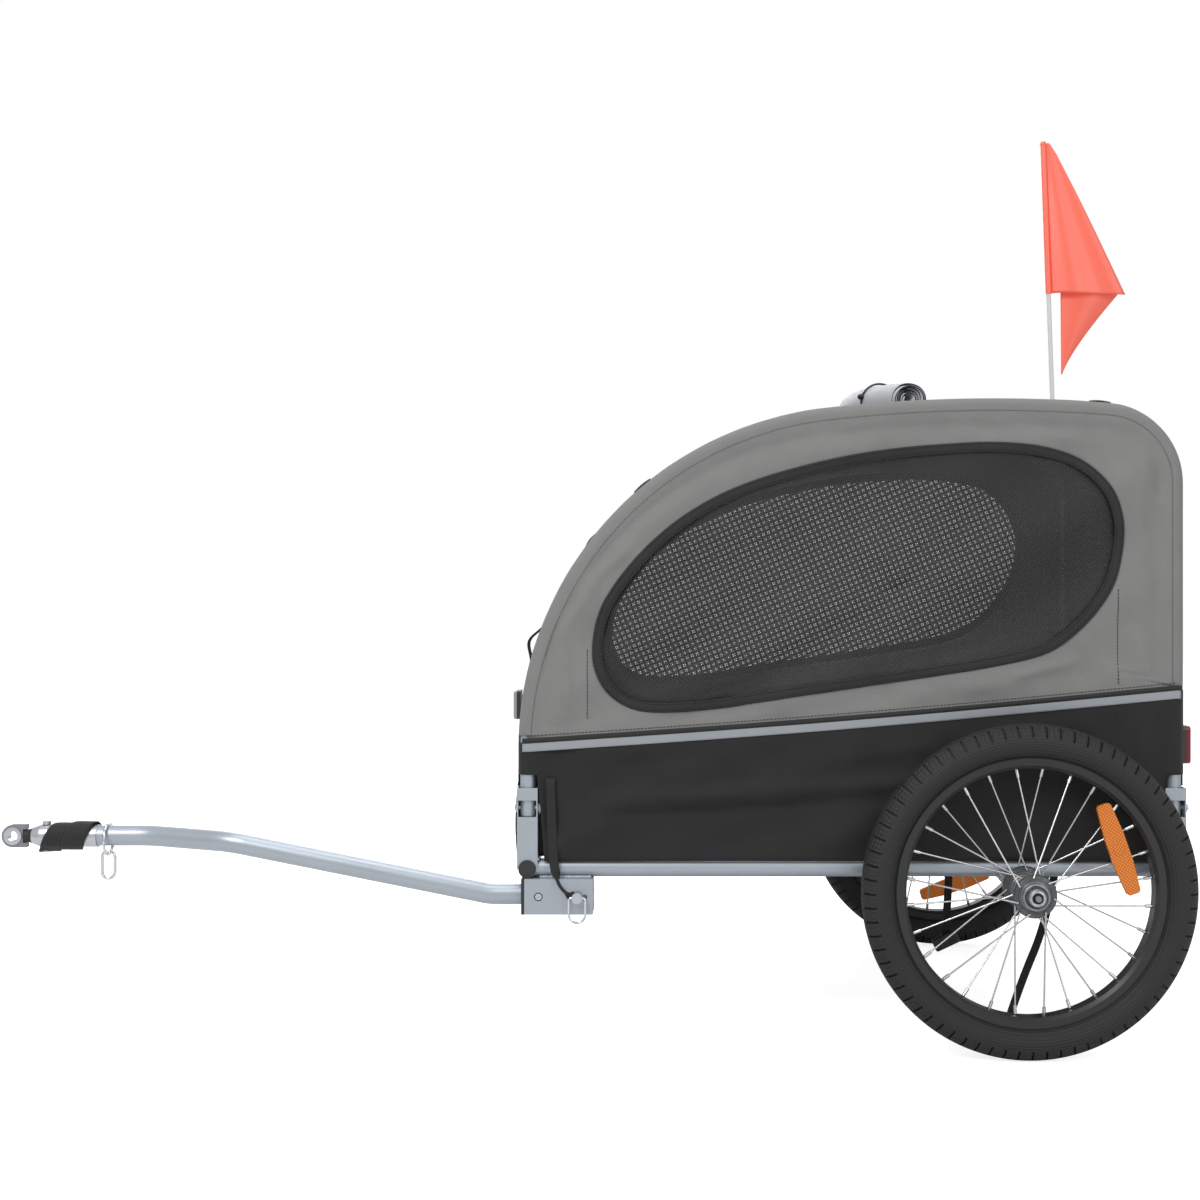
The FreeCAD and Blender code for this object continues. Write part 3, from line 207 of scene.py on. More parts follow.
# %% Floor
FLOOR_SIZE = 9.0


def pale_floor():
    material, tree, shader = start("studio_floor")
    spots = grow(tree, "ShaderNodeTexNoise", {"Scale": 3.0}).outputs["Fac"]
    settle(shader, {"Base Color": tinted(tree, spots, (0.86, 0.86, 0.86, 1), (0.9, 0.9, 0.9, 1)),
                    "Roughness": 0.9})
    matte = shader.outputs["BSDF"]
    glow = grow(tree, "ShaderNodeEmission", {"Color": (1, 1, 1, 1), "Strength": 0.8}).outputs["Emission"]
    clear = grow(tree, "ShaderNodeAddShader", {0: matte, 1: glow}).outputs["Shader"]
    direct = grow(tree, "ShaderNodeLightPath", {}).outputs["Is Camera Ray"]
    seen = grow(tree, "ShaderNodeMixShader", {0: direct, 1: matte, 2: clear})
    settle(tree.nodes["Material Output"], {"Surface": seen.outputs["Shader"]})
    return material


ground = bmesh.new()
bmesh.ops.create_grid(ground, x_segments=2, y_segments=2, size=FLOOR_SIZE)
ground_mesh = bpy.data.meshes.new("studio_floor")
ground.to_mesh(ground_mesh)
ground.free()
ground_mesh.materials.append(pale_floor())
floor = bpy.data.objects.new("studio_floor", ground_mesh)
bpy.context.scene.collection.objects.link(floor)
print("floor", 2 * FLOOR_SIZE, "m wide")

# %% World
DIFFUSE_SKY, MIRROR_SHARE = 0.32, 0.45

world = bpy.data.worlds.new("studio")
world.use_nodes = True
bpy.context.scene.world = world
sky = world.node_tree
rays = grow(sky, "ShaderNodeLightPath", {}).outputs
mirror_rays = figure(sky, "MAXIMUM", rays["Is Glossy Ray"], rays["Is Transmission Ray"])
soft_mirror = figure(sky, "MULTIPLY", mirror_rays, MIRROR_SHARE)
bright_rays = figure(sky, "MAXIMUM", rays["Is Camera Ray"], soft_mirror)
settle(sky.nodes["Background"], {"Color": (1, 1, 1, 1), "Strength": ramp(sky, bright_rays, DIFFUSE_SKY, 1.0)})
print("world ready")


# %% Lamps
def lamp(name, place, aim, size, power):
    light = bpy.data.lights.new(name, "AREA")
    light.shape = "DISK"
    light.size = size
    light.energy = power
    body = bpy.data.objects.new(name, light)
    body.location = place
    body.rotation_euler = (aim - place).to_track_quat("-Z", "Y").to_euler()
    bpy.context.scene.collection.objects.link(body)


cabin_middle = at(0.2, 0.0, 0.45)
lamp("key_lamp", Vector((1.6, 2.6, 2.9)), cabin_middle, 1.8, 70)
lamp("fill_lamp", Vector((-2.2, 2.4, 1.6)), cabin_middle, 2.2, 21)
lamp("top_lamp", Vector((0.0, 0.0, 3.6)), cabin_middle, 2.6, 40)
lamp("back_lamp", Vector((0.4, -3.0, 2.0)), cabin_middle, 2.2, 34)
print("studio ready")


# %% [markdown]
# ## Finishes
# Powder coat, chrome, rubber and moulded plastic all share one recipe with other numbers:
# a fine grain that drives the bump, a broad cloud that varies colour and gloss. The
# numbers are roughness, metal, grain, bump, cloud, change of colour, and clear coat.

# %% Hard finishes
def hard_finish(name, colour, rough, metal, grain, bump, cloud, change, coat=0.0):
    material, tree, shader = start(name)
    spot = object_spot(tree)
    fine = grain_at(tree, spot, grain, 3.0)
    broad = grain_at(tree, spot, cloud, 4.0)
    settle(shader, {"Base Color": tinted(tree, broad, shade(colour, 1 - change), shade(colour, 1 + change)),
                    "Roughness": ramp(tree, broad, rough * 0.8, rough * 1.25),
                    "Normal": emboss(tree, fine, bump, 0.0004),
                    "Metallic": metal, "Coat Weight": coat, "Coat Roughness": 0.15})
    return material


SILVER = hard_finish("silver_powder_coat", paint(171, 179, 188), 0.38, 0.55, 1400, 0.06, 9.0, 0.06, 0.15)
ZINC = hard_finish("zinc_plating", paint(196, 200, 204), 0.3, 0.9, 700, 0.08, 40.0, 0.12)
CHROME = hard_finish("bright_chrome", paint(214, 218, 222), 0.14, 1.0, 300, 0.02, 30.0, 0.06)
SPOKE_STEEL = hard_finish("spoke_steel", paint(206, 208, 210), 0.22, 0.85, 500, 0.02, 60.0, 0.08)
RIM_BLACK = hard_finish("rim_black_paint", paint(29, 30, 31), 0.36, 0.0, 1200, 0.06, 12.0, 0.15, 0.2)
BLACK_PLASTIC = hard_finish("black_moulded_plastic", paint(42, 43, 46), 0.5, 0.0, 1500, 0.2, 20.0, 0.15)
BOARD_BLACK = hard_finish("floor_board_black", paint(42, 42, 43), 0.7, 0.0, 600, 0.35, 8.0, 0.2)
POLE_WHITE = hard_finish("pole_white_fibre", paint(216, 219, 221), 0.3, 0.0, 500, 0.05, 30.0, 0.03)
EYE_ALLOY = hard_finish("eye_alloy", paint(140, 139, 147), 0.42, 0.6, 800, 0.1, 50.0, 0.12)
BUTTON_GREY = hard_finish("button_grey_green", paint(128, 140, 138), 0.4, 0.3, 900, 0.1, 60.0, 0.1)
CORE_RUBBER = hard_finish("core_rubber", paint(34, 34, 35), 0.62, 0.0, 700, 0.3, 30.0, 0.2)
print("hard finishes ready")


# %% [markdown]
# Lenses of reflectors have small prisms in rows. Two crossed waves make the prism field,
# which also paints the facets darker and lighter than the lens colour: painted shade and
# painted highlight. A clear coat on top keeps the lens shiny, and a weak emission in the
# lens's own colour is a painted glow. The front and rear ones sit in a black housing:
# behind a given X the same material turns to plain black plastic.

# %% Reflector finish
PRISM_SLANT = math.radians(32)
HOUSING_BLACK = paint(44, 45, 47)


def prism_finish(name, colour, pitch, bands="X", lens_from=None, ahead=True, glow=0.0):
    material, tree, shader = start(name)
    spot = object_spot(tree)
    turned = grow(tree, "ShaderNodeMapping", {"Vector": spot, "Rotation": (0, PRISM_SLANT, 0)})
    slant, scale = turned.outputs["Vector"], WAVE / pitch
    field = figure(tree, "MULTIPLY", wave(tree, slant, scale, bands), wave(tree, slant, scale, "Z"))
    # The prism field paints each cell from half to 1.3 times the lens colour: painted shade and painted
    # highlight of the facets.
    tint = tinted(tree, field, shade(colour, 0.5), shade(colour, 1.3))
    if lens_from is not None:
        along = grow(tree, "ShaderNodeSeparateXYZ", {"Vector": spot}).outputs["X"]
        in_lens = figure(tree, "GREATER_THAN" if ahead else "LESS_THAN", along, lens_from)
        tint = tinted(tree, in_lens, HOUSING_BLACK, tint)
    # Emission in the lens's own colour is a painted glow; the lens is no lamp.
    settle(shader, {"Base Color": tint, "Normal": emboss(tree, field, 0.5, 0.0006),
                    "Roughness": 0.25, "Coat Weight": 0.4, "Coat Roughness": 0.05,
                    "Emission Color": colour, "Emission Strength": glow})
    return material


front_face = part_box("left_front_reflector")[1][0]
rear_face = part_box("left_rear_reflector")[0][0]
# The amber and red lenses get a painted glow from their emission strength; the clear one has none.
AMBER = prism_finish("amber_lens", paint(230, 124, 6), 0.0030, glow=0.16)
CLEAR_LENS = prism_finish("clear_lens", paint(215, 218, 222), 0.0026, "Y", front_face - 0.004)
RED_LENS = prism_finish("red_lens", paint(176, 18, 34), 0.0026, "Y", rear_face + 0.001, False, 0.05)
print("lens finishes ready")


# %% [markdown]
# Tyre rubber is matte with a fine mould grain, a little greyer where it is dusty. The
# distance from the axle gives the wall its rings, and the angle round it the tread's teeth.

# %% Tyre finish
WALL_RIB = 0.0034
WALL_ENDS, WALL_FULL = 0.186, 0.183
TREAD_BEGINS, TREAD_FULL = 0.185, 0.189
TREAD_TEETH = 216.0


def tyre_finish():
    material, tree, shader = start("tyre_rubber")
    spot = object_spot(tree)
    fine = grain_at(tree, spot, 420.0, 5.0)
    dust = grain_at(tree, spot, 22.0, 6.0)
    flat, reach = from_axle(tree, spot)
    rings = rings_at(tree, reach, WALL_RIB)
    wall = grow(tree, "ShaderNodeMapRange", {"Value": reach, "From Min": WALL_ENDS, "From Max": WALL_FULL})
    ribs = figure(tree, "MULTIPLY", rings, wall.outputs["Result"])
    skin = figure(tree, "MULTIPLY_ADD", ribs, 0.5, fine)
    parts = grow(tree, "ShaderNodeSeparateXYZ", {"Vector": flat}).outputs
    turn = figure(tree, "ARCTAN2", parts["Z"], parts["X"])
    teeth = figure(tree, "SINE", figure(tree, "MULTIPLY", turn, TREAD_TEETH))
    blocks = figure(tree, "MAXIMUM", teeth, rings)
    edge = grow(tree, "ShaderNodeMapRange",
                {"Value": reach, "From Min": TREAD_BEGINS, "From Max": TREAD_FULL})
    tread = figure(tree, "MULTIPLY", blocks, edge.outputs["Result"])
    skin = figure(tree, "MULTIPLY_ADD", tread, 1.1, skin)
    settle(shader, {"Base Color": tinted(tree, dust, paint(21, 22, 22), paint(36, 37, 37)),
                    "Roughness": ramp(tree, dust, 0.52, 0.8),
                    "Normal": emboss(tree, skin, 0.5, 0.0009)})
    return material


TYRE_RUBBER = tyre_finish()
print("tyre finish ready")


# %% [markdown]
# Hub, bearings and wheel pins are turned parts. The distance from the axle gives them fine
# rings from the lathe, and one dark band each: the flange of the hub, the seal of the
# bearing, and on the pin a painted shade in the hollow round the push button.

# %% Turned finish
LATHE_RING = 0.0022


def turned_finish(name, colour, dark, band_from, band_to):
    material, tree, shader = start(name)
    spot = object_spot(tree)
    reach = from_axle(tree, spot)[1]
    beyond = figure(tree, "GREATER_THAN", reach, band_from)
    within = figure(tree, "LESS_THAN", reach, band_to)
    fine = grain_at(tree, spot, 300.0, 4.0)
    bright = tinted(tree, fine, shade(colour, 0.8), shade(colour, 1.15))
    settle(shader, {"Base Color": tinted(tree, figure(tree, "MULTIPLY", beyond, within), bright, dark),
                    "Normal": emboss(tree, rings_at(tree, reach, LATHE_RING), 0.6, 0.0004),
                    "Roughness": ramp(tree, fine, 0.24, 0.42), "Metallic": 0.8})
    return material


HUB_STEEL = turned_finish("hub_steel", paint(150, 152, 155), paint(102, 104, 106), 0.0178, 0.040)
BEARING_STEEL = turned_finish("bearing_steel", paint(188, 190, 193), paint(96, 98, 100), 0.0112, 0.0136)
# The pin's dark band, out to 6.6 mm from the axle, is painted shade in the hollow round the push button.
PIN_STEEL = turned_finish("wheel_pin_steel", paint(190, 193, 196), paint(46, 48, 50), 0.0, 0.0066)
print("turned finishes ready")


# %% [markdown]
# Cloth reads its own UV map, which holds the flat cut in metres, so the weave keeps its
# size and runs with the sheet. Two crossed waves are warp and weft. A broad cloud gives
# the soft unevenness that coated canvas shows in side light.

# %% Cloth finishes
def cloth_finish(name, colour, thread=0.0011, bump=0.35, rough=0.86, sheen=0.15, change=0.1, ribs=False,
                 coat=0.0, glow=0.0):
    material, tree, shader = start(name)
    flat = cloth_spot(tree)
    scale = WAVE / thread
    warp = wave(tree, flat, scale, "X", 0.6)
    weft = wave(tree, flat, scale * (0.35 if ribs else 1.0), "Y", 0.6)
    weave = figure(tree, "MULTIPLY", warp, weft)
    cloud = grain_at(tree, object_spot(tree), 26.0, 5.0, 0.6)
    threads = tinted(tree, weave, shade(colour, 0.84), shade(colour, 1.1))
    mottle = tinted(tree, cloud, (*[1 - change] * 3, 1), (*[1 + change] * 3, 1))
    # Where glow is set, emission in the cloth's own colour is a painted glow.
    settle(shader, {"Base Color": tinted(tree, 1.0, threads, mottle, "MULTIPLY"),
                    "Normal": emboss(tree, weave, bump, 0.0004), "Roughness": rough,
                    "Sheen Weight": sheen, "Sheen Roughness": 0.5,
                    "Coat Weight": coat, "Coat Roughness": 0.28,
                    "Emission Color": colour, "Emission Strength": glow})
    return material


GREY_CLOTH = cloth_finish("grey_canvas", paint(134, 134, 133))
BLACK_CLOTH = cloth_finish("black_canvas", paint(32, 32, 34), sheen=0.05)
WEBBING = cloth_finish("black_webbing", paint(30, 30, 32), 0.0016, 0.6, 0.8, 0.1, 0.1, True)
BINDING = cloth_finish("black_binding_tape", paint(36, 36, 37), 0.0009, 0.5, 0.8, 0.1, 0.06, True)
ROLL_CLOTH = cloth_finish("pale_roll_lining", paint(196, 198, 203), 0.0012, 0.3, 0.6, 0.1, 0.08)
ROLL_EDGE = cloth_finish("dark_roll_edge", paint(42, 42, 44), 0.001, 0.4, 0.8, 0.1, 0.2)
STRIPE_CLOTH = cloth_finish("reflective_stripe", paint(160, 165, 171), 0.0008, 0.3, 0.45, 0.0, 0.06)
# The flag cloth gets a painted glow: weak emission in its own orange stands in for light shining through the
# thin cloth.
FLAG_CLOTH = cloth_finish("orange_flag_cloth", paint(255, 110, 88), 0.0007, 0.12, 0.36, 0.05, 0.04,
                          coat=0.5, glow=0.14)
THREAD = cloth_finish("dark_thread", paint(52, 52, 53), 0.0008, 0.5, 0.8, 0.1, 0.1, True)
GREY_THREAD = cloth_finish("grey_thread", paint(114, 114, 113), 0.0008, 0.5, 0.8, 0.1, 0.1, True)
print("cloth finishes ready")


# %% [markdown]
# The window net is woven from black yarn on a slant, with square holes between. Each hole
# is truly open: the shader turns clear where two crossed waves are both low, so the far
# window and the studio show through. Two nets in a row cross into larger checks on the
# real trailer. Yarn that thin shimmers in a picture, so one net has the yarn and the other
# the checks, and from either side the two together show both.

# %% Net finish
def net_finish(name, period, turn, clear, closed, most):
    material, tree, shader = start(name)
    turned = grow(tree, "ShaderNodeMapping",
                  {"Vector": cloth_spot(tree), "Rotation": (0, 0, math.radians(turn))})
    slant, scale = turned.outputs["Vector"], WAVE / period
    yarn = figure(tree, "MAXIMUM", wave(tree, slant, scale, "X"), wave(tree, slant, scale, "Y"))
    solid = grow(tree, "ShaderNodeMapRange",
                 {"Value": yarn, "From Min": clear, "From Max": closed, "To Min": most})
    settle(shader, {"Alpha": solid.outputs["Result"],
                    "Base Color": tinted(tree, yarn, paint(18, 18, 19), paint(44, 44, 45)),
                    "Normal": emboss(tree, yarn, 0.5, 0.0008), "Roughness": 0.6})
    return material


NETS = {"left": net_finish("yarn_net", 0.0021, 18, 0.40, 0.52, 0.0),
        "right": net_finish("checked_net", 0.0084, 24, 0.22, 1.05, 0.12)}
print("nets", len(NETS))


# %% [markdown]
# ## Rigid pieces
# The solids already have the right shape, so they only change their finish.

# %% Finish the solids
def dress(material, *nodes):
    for node in nodes:
        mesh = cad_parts[node].data
        mesh.materials.clear()
        mesh.materials.append(material)


dress(SILVER, "side_rails", "cross_tubes", "axle_tube", "corner_posts", "left_hoop", "right_hoop",
      "drawbar", "drawbar_receiver")
dress(ZINC, "drawbar_screws", "post_bolts", "lock_pin", "hitch_bushing", "hitch_sleeve")
dress(PIN_STEEL, "wheel_axles")
dress(BEARING_STEEL, "left_hub_bearings", "right_hub_bearings")
dress(EYE_ALLOY, "hitch_eye")
dress(CHROME, "lock_pin_ring", "strap_ring", "snap_link")
dress(BLACK_PLASTIC, "frame_end_caps", "receiver_bush", "flag_holder", "strap_buckle")
dress(BOARD_BLACK, "floor_board")
dress(POLE_WHITE, "flag_pole")
for side, sign in SIDES:
    dress(TYRE_RUBBER, side + "_tyre")
    dress(RIM_BLACK, side + "_rim")
    dress(HUB_STEEL, side + "_hub")
    dress(SPOKE_STEEL, side + "_spokes")
    dress(BUTTON_GREY, side + "_axle_button")
print("solids finished")


# %% [markdown]
# ## New pieces
# A new piece is built with bmesh, linked to the scene and put on a body, in a colour slot.
# Where it stands for a node, it replaces it. The canvas over the hoops, with all that is
# sewn to it, gets a mesh of its own.

# %% Piece helpers
MERGE = 0.00001


def finished(name, shape, *finishes, smooth=True):
    mesh = bpy.data.meshes.new(name)
    shape.to_mesh(mesh)
    shape.free()
    for finish in finishes:
        mesh.materials.append(finish)
    if smooth:
        mesh.shade_smooth()
    piece = bpy.data.objects.new(name, mesh)
    bpy.context.scene.collection.objects.link(piece)
    return piece


def fit(piece, body, node=None, folds=False):
    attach(piece, body)
    if folds:
        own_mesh(piece)
    if node:
        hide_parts(node)
    return piece


def node_box(node):
    return [Vector(corner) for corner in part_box(node)]


# %% [markdown]
# The amber reflector clipped across the outer spokes is a long plate, widest in its middle,
# with a raised border, a prism field and a plain round boss. A flat outline is extruded,
# its border inset and the corners bevelled, then the plate is turned to its lean.

# %% Spoke reflectors
LENS_HALF, LENS_WAIST, LENS_END = 0.056, 0.0118, 0.0086
WAIST_HALF, LENS_CORNER = 0.018, 0.003
LENS_EDGE, BORDER_WIDE, BORDER_DEEP = 0.0008, 0.0018, 0.0007
BOSS_R, BOSS_H, BOSS_PROUD = 0.0062, 0.0016, 0.0006
LENS_OUTLINE = [(-LENS_WAIST, -WAIST_HALF), (-LENS_END, -LENS_HALF + LENS_CORNER),
                (-LENS_END + LENS_CORNER, -LENS_HALF), (LENS_END - LENS_CORNER, -LENS_HALF),
                (LENS_END, -LENS_HALF + LENS_CORNER), (LENS_WAIST, -WAIST_HALF),
                (LENS_WAIST, WAIST_HALF), (LENS_END, LENS_HALF - LENS_CORNER),
                (LENS_END - LENS_CORNER, LENS_HALF), (-LENS_END + LENS_CORNER, LENS_HALF),
                (-LENS_END, LENS_HALF - LENS_CORNER), (-LENS_WAIST, WAIST_HALF)]


def turn_all(shape, angle, axis):
    bmesh.ops.rotate(shape, verts=shape.verts, cent=(0, 0, 0), matrix=Matrix.Rotation(angle, 3, axis))


def spoke_lens(side, sign, lean):
    low, high = node_box(side + "_spoke_reflector")
    thick = high.y - low.y
    plate = bmesh.new()
    plate.faces.new([plate.verts.new((x, 0, z)) for x, z in LENS_OUTLINE])
    grown = bmesh.ops.extrude_face_region(plate, geom=plate.faces[:])["geom"]
    front = [part for part in grown if isinstance(part, bmesh.types.BMFace)]
    bmesh.ops.translate(plate, verts=front[0].verts[:], vec=(0, thick - BOSS_PROUD, 0))
    bmesh.ops.recalc_face_normals(plate, faces=plate.faces)
    # only the long edges of the outline, which are longer than the plate is thick
    bmesh.ops.bevel(plate, geom=[edge for edge in plate.edges if edge.calc_length() > thick + 0.0005],
                    offset=LENS_EDGE, affect="EDGES", segments=2, profile=0.5, material=-1)
    front = [max(plate.faces, key=lambda face: face.calc_center_median().y + face.calc_area())]
    bmesh.ops.inset_region(plate, faces=front, thickness=BORDER_WIDE, depth=-BORDER_DEEP)
    boss = bmesh.ops.create_circle(plate, segments=32, radius=BOSS_R, cap_ends=True)["verts"]
    bmesh.ops.rotate(plate, verts=boss, cent=(0, 0, 0), matrix=Matrix.Rotation(-math.pi / 2, 3, "X"))
    bmesh.ops.translate(plate, verts=boss, vec=(0, thick - BOSS_H, 0))
    disc = [face for face in plate.faces if all(vert in boss for vert in face.verts)]
    raised = bmesh.ops.extrude_face_region(plate, geom=disc)["geom"]
    rim = [part for part in raised if isinstance(part, bmesh.types.BMVert)]
    bmesh.ops.translate(plate, verts=rim, vec=(0, BOSS_H, 0))
    if sign < 0:
        turn_all(plate, math.pi, "Z")
    turn_all(plate, lean, "Y")
    seat = low.y if sign > 0 else high.y
    bmesh.ops.translate(plate, verts=plate.verts, vec=((low.x + high.x) / 2, seat, (low.z + high.z) / 2))
    bmesh.ops.recalc_face_normals(plate, faces=plate.faces)
    piece = finished(side + "_spoke_lens", plate, AMBER, smooth=False)
    fit(piece, side + "_wheel", side + "_spoke_reflector")


spoke_lens("left", 1, math.radians(19.3))
spoke_lens("right", -1, math.radians(-71.9))
print("spoke reflectors made")


# %% [markdown]
# The cover carries clear reflectors in front and red ones behind. The red ones stand near
# the corners, so that they show from the side too. Each is a block with round corners: a
# black foot on the cloth and the lens on its far face.

# %% Cover reflectors
REAR_LENS_OUTER, REAR_LENS_PROUD = 0.255, 0.004
BLOCK_CORNER, BLOCK_EDGE = 0.004, 0.0014


def cover_lens(name, low, high, facing, finish):
    size, middle = high - low, (low + high) / 2
    block = bmesh.new()
    bmesh.ops.create_cube(block, size=1.0, matrix=Matrix.Translation(middle) @ Matrix.Diagonal((*size, 1.0)))
    along = [edge for edge in block.edges if abs(edge.verts[0].co.x - edge.verts[1].co.x) > 0.001]
    bmesh.ops.bevel(block, geom=along, offset=BLOCK_CORNER, affect="EDGES", segments=4, profile=0.5,
                    material=-1)
    face = [edge for edge in block.edges if all((vert.co.x - middle.x) * facing > 0 for vert in edge.verts)]
    bmesh.ops.bevel(block, geom=face, offset=BLOCK_EDGE, affect="EDGES", segments=2, profile=0.5,
                    material=-1)
    return finished(name, block, finish, smooth=False)


for side, sign in SIDES:
    low, high = node_box(side + "_front_reflector")
    front_lens = cover_lens(side + "_front_lens", low, high, 1, CLEAR_LENS)
    fit(front_lens, "chassis", side + "_front_reflector", folds=True)
    low, high = node_box(side + "_rear_reflector")
    low.x -= REAR_LENS_PROUD
    if sign > 0:
        high.y = REAR_LENS_OUTER
    else:
        low.y = -REAR_LENS_OUTER
    rear_lens = cover_lens(side + "_rear_lens", low, high, -1, RED_LENS)
    fit(rear_lens, "chassis", side + "_rear_reflector")
print("cover reflectors made")


# %% [markdown]
# ## The cover's line
# The cover follows two hoops: a straight front leg, a wide front bend, a nearly flat
# crown, a tight rear bend and a straight rear leg. One function walks that line and gives
# a place and its outward direction, and every cloth piece is laid out from it.

# %% Sizes of the hoop
FRONT, REAR, FOOT = 0.600, -0.187, 0.3195
FRONT_R, REAR_R, TOP = 0.410, 0.086, 0.7805
RISE, FALL = math.radians(6.7), math.radians(4.6)
HOOP_Y = 0.265
CROWN_R = ((FRONT - REAR - FRONT_R * (1 - math.sin(RISE)) - REAR_R * (1 - math.sin(FALL)))
           / (math.sin(RISE) + math.sin(FALL)))
SHOULDER = TOP - CROWN_R - (FRONT_R - CROWN_R) * math.cos(RISE)
CREST, BROW = math.pi / 2 - RISE, math.pi / 2 + FALL


def ray(angle, length=1.0):
    return Vector((math.cos(angle), math.sin(angle))) * length


FRONT_C = Vector((FRONT - FRONT_R, SHOULDER))
CROWN_C = FRONT_C + ray(CREST, FRONT_R - CROWN_R)
REAR_C = CROWN_C + ray(BROW, CROWN_R - REAR_R)
# lengths of front leg, front bend, crown, rear bend and rear leg
RUNS = [SHOULDER - FOOT, FRONT_R * CREST, CROWN_R * (BROW - CREST), REAR_R * (math.pi - BROW),
        REAR_C.y - FOOT]
HOOP_RUN = sum(RUNS)
# centre, radius, first and last angle of each bend
BENDS = [(FRONT_C, FRONT_R, 0.0, CREST), (CROWN_C, CROWN_R, CREST, BROW), (REAR_C, REAR_R, BROW, math.pi)]
print("hoop line", round(HOOP_RUN, 3), "m, shoulder at", round(SHOULDER, 3))


# %% Walk the hoop
def hoop_at(run, offset):
    """(x, z, nx, nz) at a length along the hoop from its front foot, moved out by offset."""
    if run <= RUNS[0]:
        return FRONT + offset, FOOT + run, 1.0, 0.0
    run -= RUNS[0]
    for (centre, radius, begin, end), length in zip(BENDS, RUNS[1:]):
        if run <= length:
            out = ray(begin + run / radius)
            spot = centre + out * (radius + offset)
            return spot.x, spot.y, out.x, out.y
        run -= length
    return REAR - offset, REAR_C.y - run, -1.0, 0.0


def run_at(x):
    """The length along the hoop where its bend passes x."""
    low, high = RUNS[0], HOOP_RUN - RUNS[4]
    for step in range(40):
        half = (low + high) / 2
        if hoop_at(half, 0)[0] > x:
            low = half
        else:
            high = half
    return (low + high) / 2


def hoop_normal(spot):
    """Outward direction of the hoop next to a place on it."""
    if spot.y <= SHOULDER and spot.x > 0:
        return Vector((1.0, 0.0))
    if spot.y <= REAR_C.y and spot.x < 0:
        return Vector((-1.0, 0.0))
    for centre, radius, low, high in BENDS:
        angle = math.atan2(spot.y - centre.y, spot.x - centre.x)
        if low - 0.001 <= angle <= high + 0.001 and abs((spot - centre).length - radius) < 0.002:
            return ray(angle)
    return (spot - CROWN_C).normalized()


print("hoop over the axle at", round(hoop_at(run_at(0.0), 0.0)[1], 3))


# %% [markdown]
# A cloth piece starts as a flat grid. Each grid point moves to its place on the object, and
# its place in the flat cut is kept as UV. Creases come from smooth noise, always the same.

# %% Form helpers
def crease(x, y, z, size, depth):
    return depth * noise.noise(Vector((x / size, y / size, z / size)))


def smooth_step(value, low, high):
    share = min(1.0, max(0.0, (value - low) / (high - low)))
    return share * share * (3 - 2 * share)


def hump(value, middle, width):
    """1 in the middle, falling off to both sides."""
    return math.exp(-((value - middle) / width) ** 2)


def between(knots, value):
    """A value read off a broken line of (from, to) knots."""
    for (from0, to0), (from1, to1) in zip(knots, knots[1:]):
        if value <= from1 + 1e-9:
            return to0 + (to1 - to0) * (value - from0) / (from1 - from0)
    return knots[-1][1]


def nearest(ring, u):
    return int(round(u * len(ring))) % len(ring)


def ring_out(ring, index):
    """Outward direction of a closed outline at one of its points."""
    along = (ring[(index + 1) % len(ring)] - ring[index - 1]).normalized()
    return Vector((along.y, -along.x))


# %% Cloth helper
def cloth(name, columns, rows, lay, finishes, thickness=0.0012, choose=None, hole=None, rim=0):
    """A grid of columns and rows, each point laid by lay(u, v) -> (place, flat place)."""
    sheet = bmesh.new()
    bmesh.ops.create_grid(sheet, x_segments=columns, y_segments=rows, size=0.5)
    layer = sheet.loops.layers.uv.new("cloth")
    shares = {vert: (vert.co.x + 0.5, vert.co.y + 0.5) for vert in sheet.verts}
    laid = {vert: lay(*shares[vert]) for vert in sheet.verts}
    cut = []
    for face in sheet.faces:
        for loop in face.loops:
            loop[layer].uv = laid[loop.vert][1]
        middle_u = sum(shares[vert][0] for vert in face.verts) / 4
        middle_v = sum(shares[vert][1] for vert in face.verts) / 4
        if choose:
            face.material_index = choose(middle_u, middle_v)
        if hole and hole(middle_u, middle_v):
            cut.append(face)
    for vert, (place, flat) in laid.items():
        vert.co = place
    bmesh.ops.delete(sheet, geom=cut, context="FACES")
    bmesh.ops.remove_doubles(sheet, verts=sheet.verts, dist=MERGE)
    bmesh.ops.recalc_face_normals(sheet, faces=sheet.faces)
    piece = finished(name, sheet, *finishes)
    wall = piece.modifiers.new("thickness", "SOLIDIFY")
    wall.thickness = thickness
    wall.offset = 0.0
    wall.material_offset_rim = rim
    return piece


# %% [markdown]
# ## Cover sides
# Each side is a grey canvas panel with a large window, over a black lower panel. A silver
# stripe with a black piping covers the seam between them. Window and panel outline are
# both cut by the same rays from the window's middle, so that a grid fits between them.

# %% Outlines of window, stripe and panel
STRIPE_FRONT_Z, STRIPE_REAR_Z, STRIPE_SAG = 0.3725, 0.437, 0.004
STRIPE_H = 0.0105
PANEL_STEPS, SEAM_STEPS, RAY_COUNT = 240, 80, 300
WINDOW_MIDDLE = Vector((0.15, 0.56))
WINDOW = [(0.5215, 0.486), (0.514, 0.531), (0.492, 0.568), (0.455, 0.612), (0.406, 0.652),
          (0.346, 0.684), (0.265, 0.709), (0.173, 0.728), (0.093, 0.735), (0.038, 0.7375),
          (-0.016, 0.734), (-0.064, 0.722), (-0.097, 0.698), (-0.118, 0.665), (-0.126, 0.623),
          (-0.115, 0.568), (-0.086, 0.525), (-0.047, 0.489), (0.001, 0.471), (0.167, 0.445),
          (0.297, 0.427), (0.376, 0.413), (0.441, 0.410), (0.473, 0.413), (0.502, 0.431),
          (0.517, 0.458)]


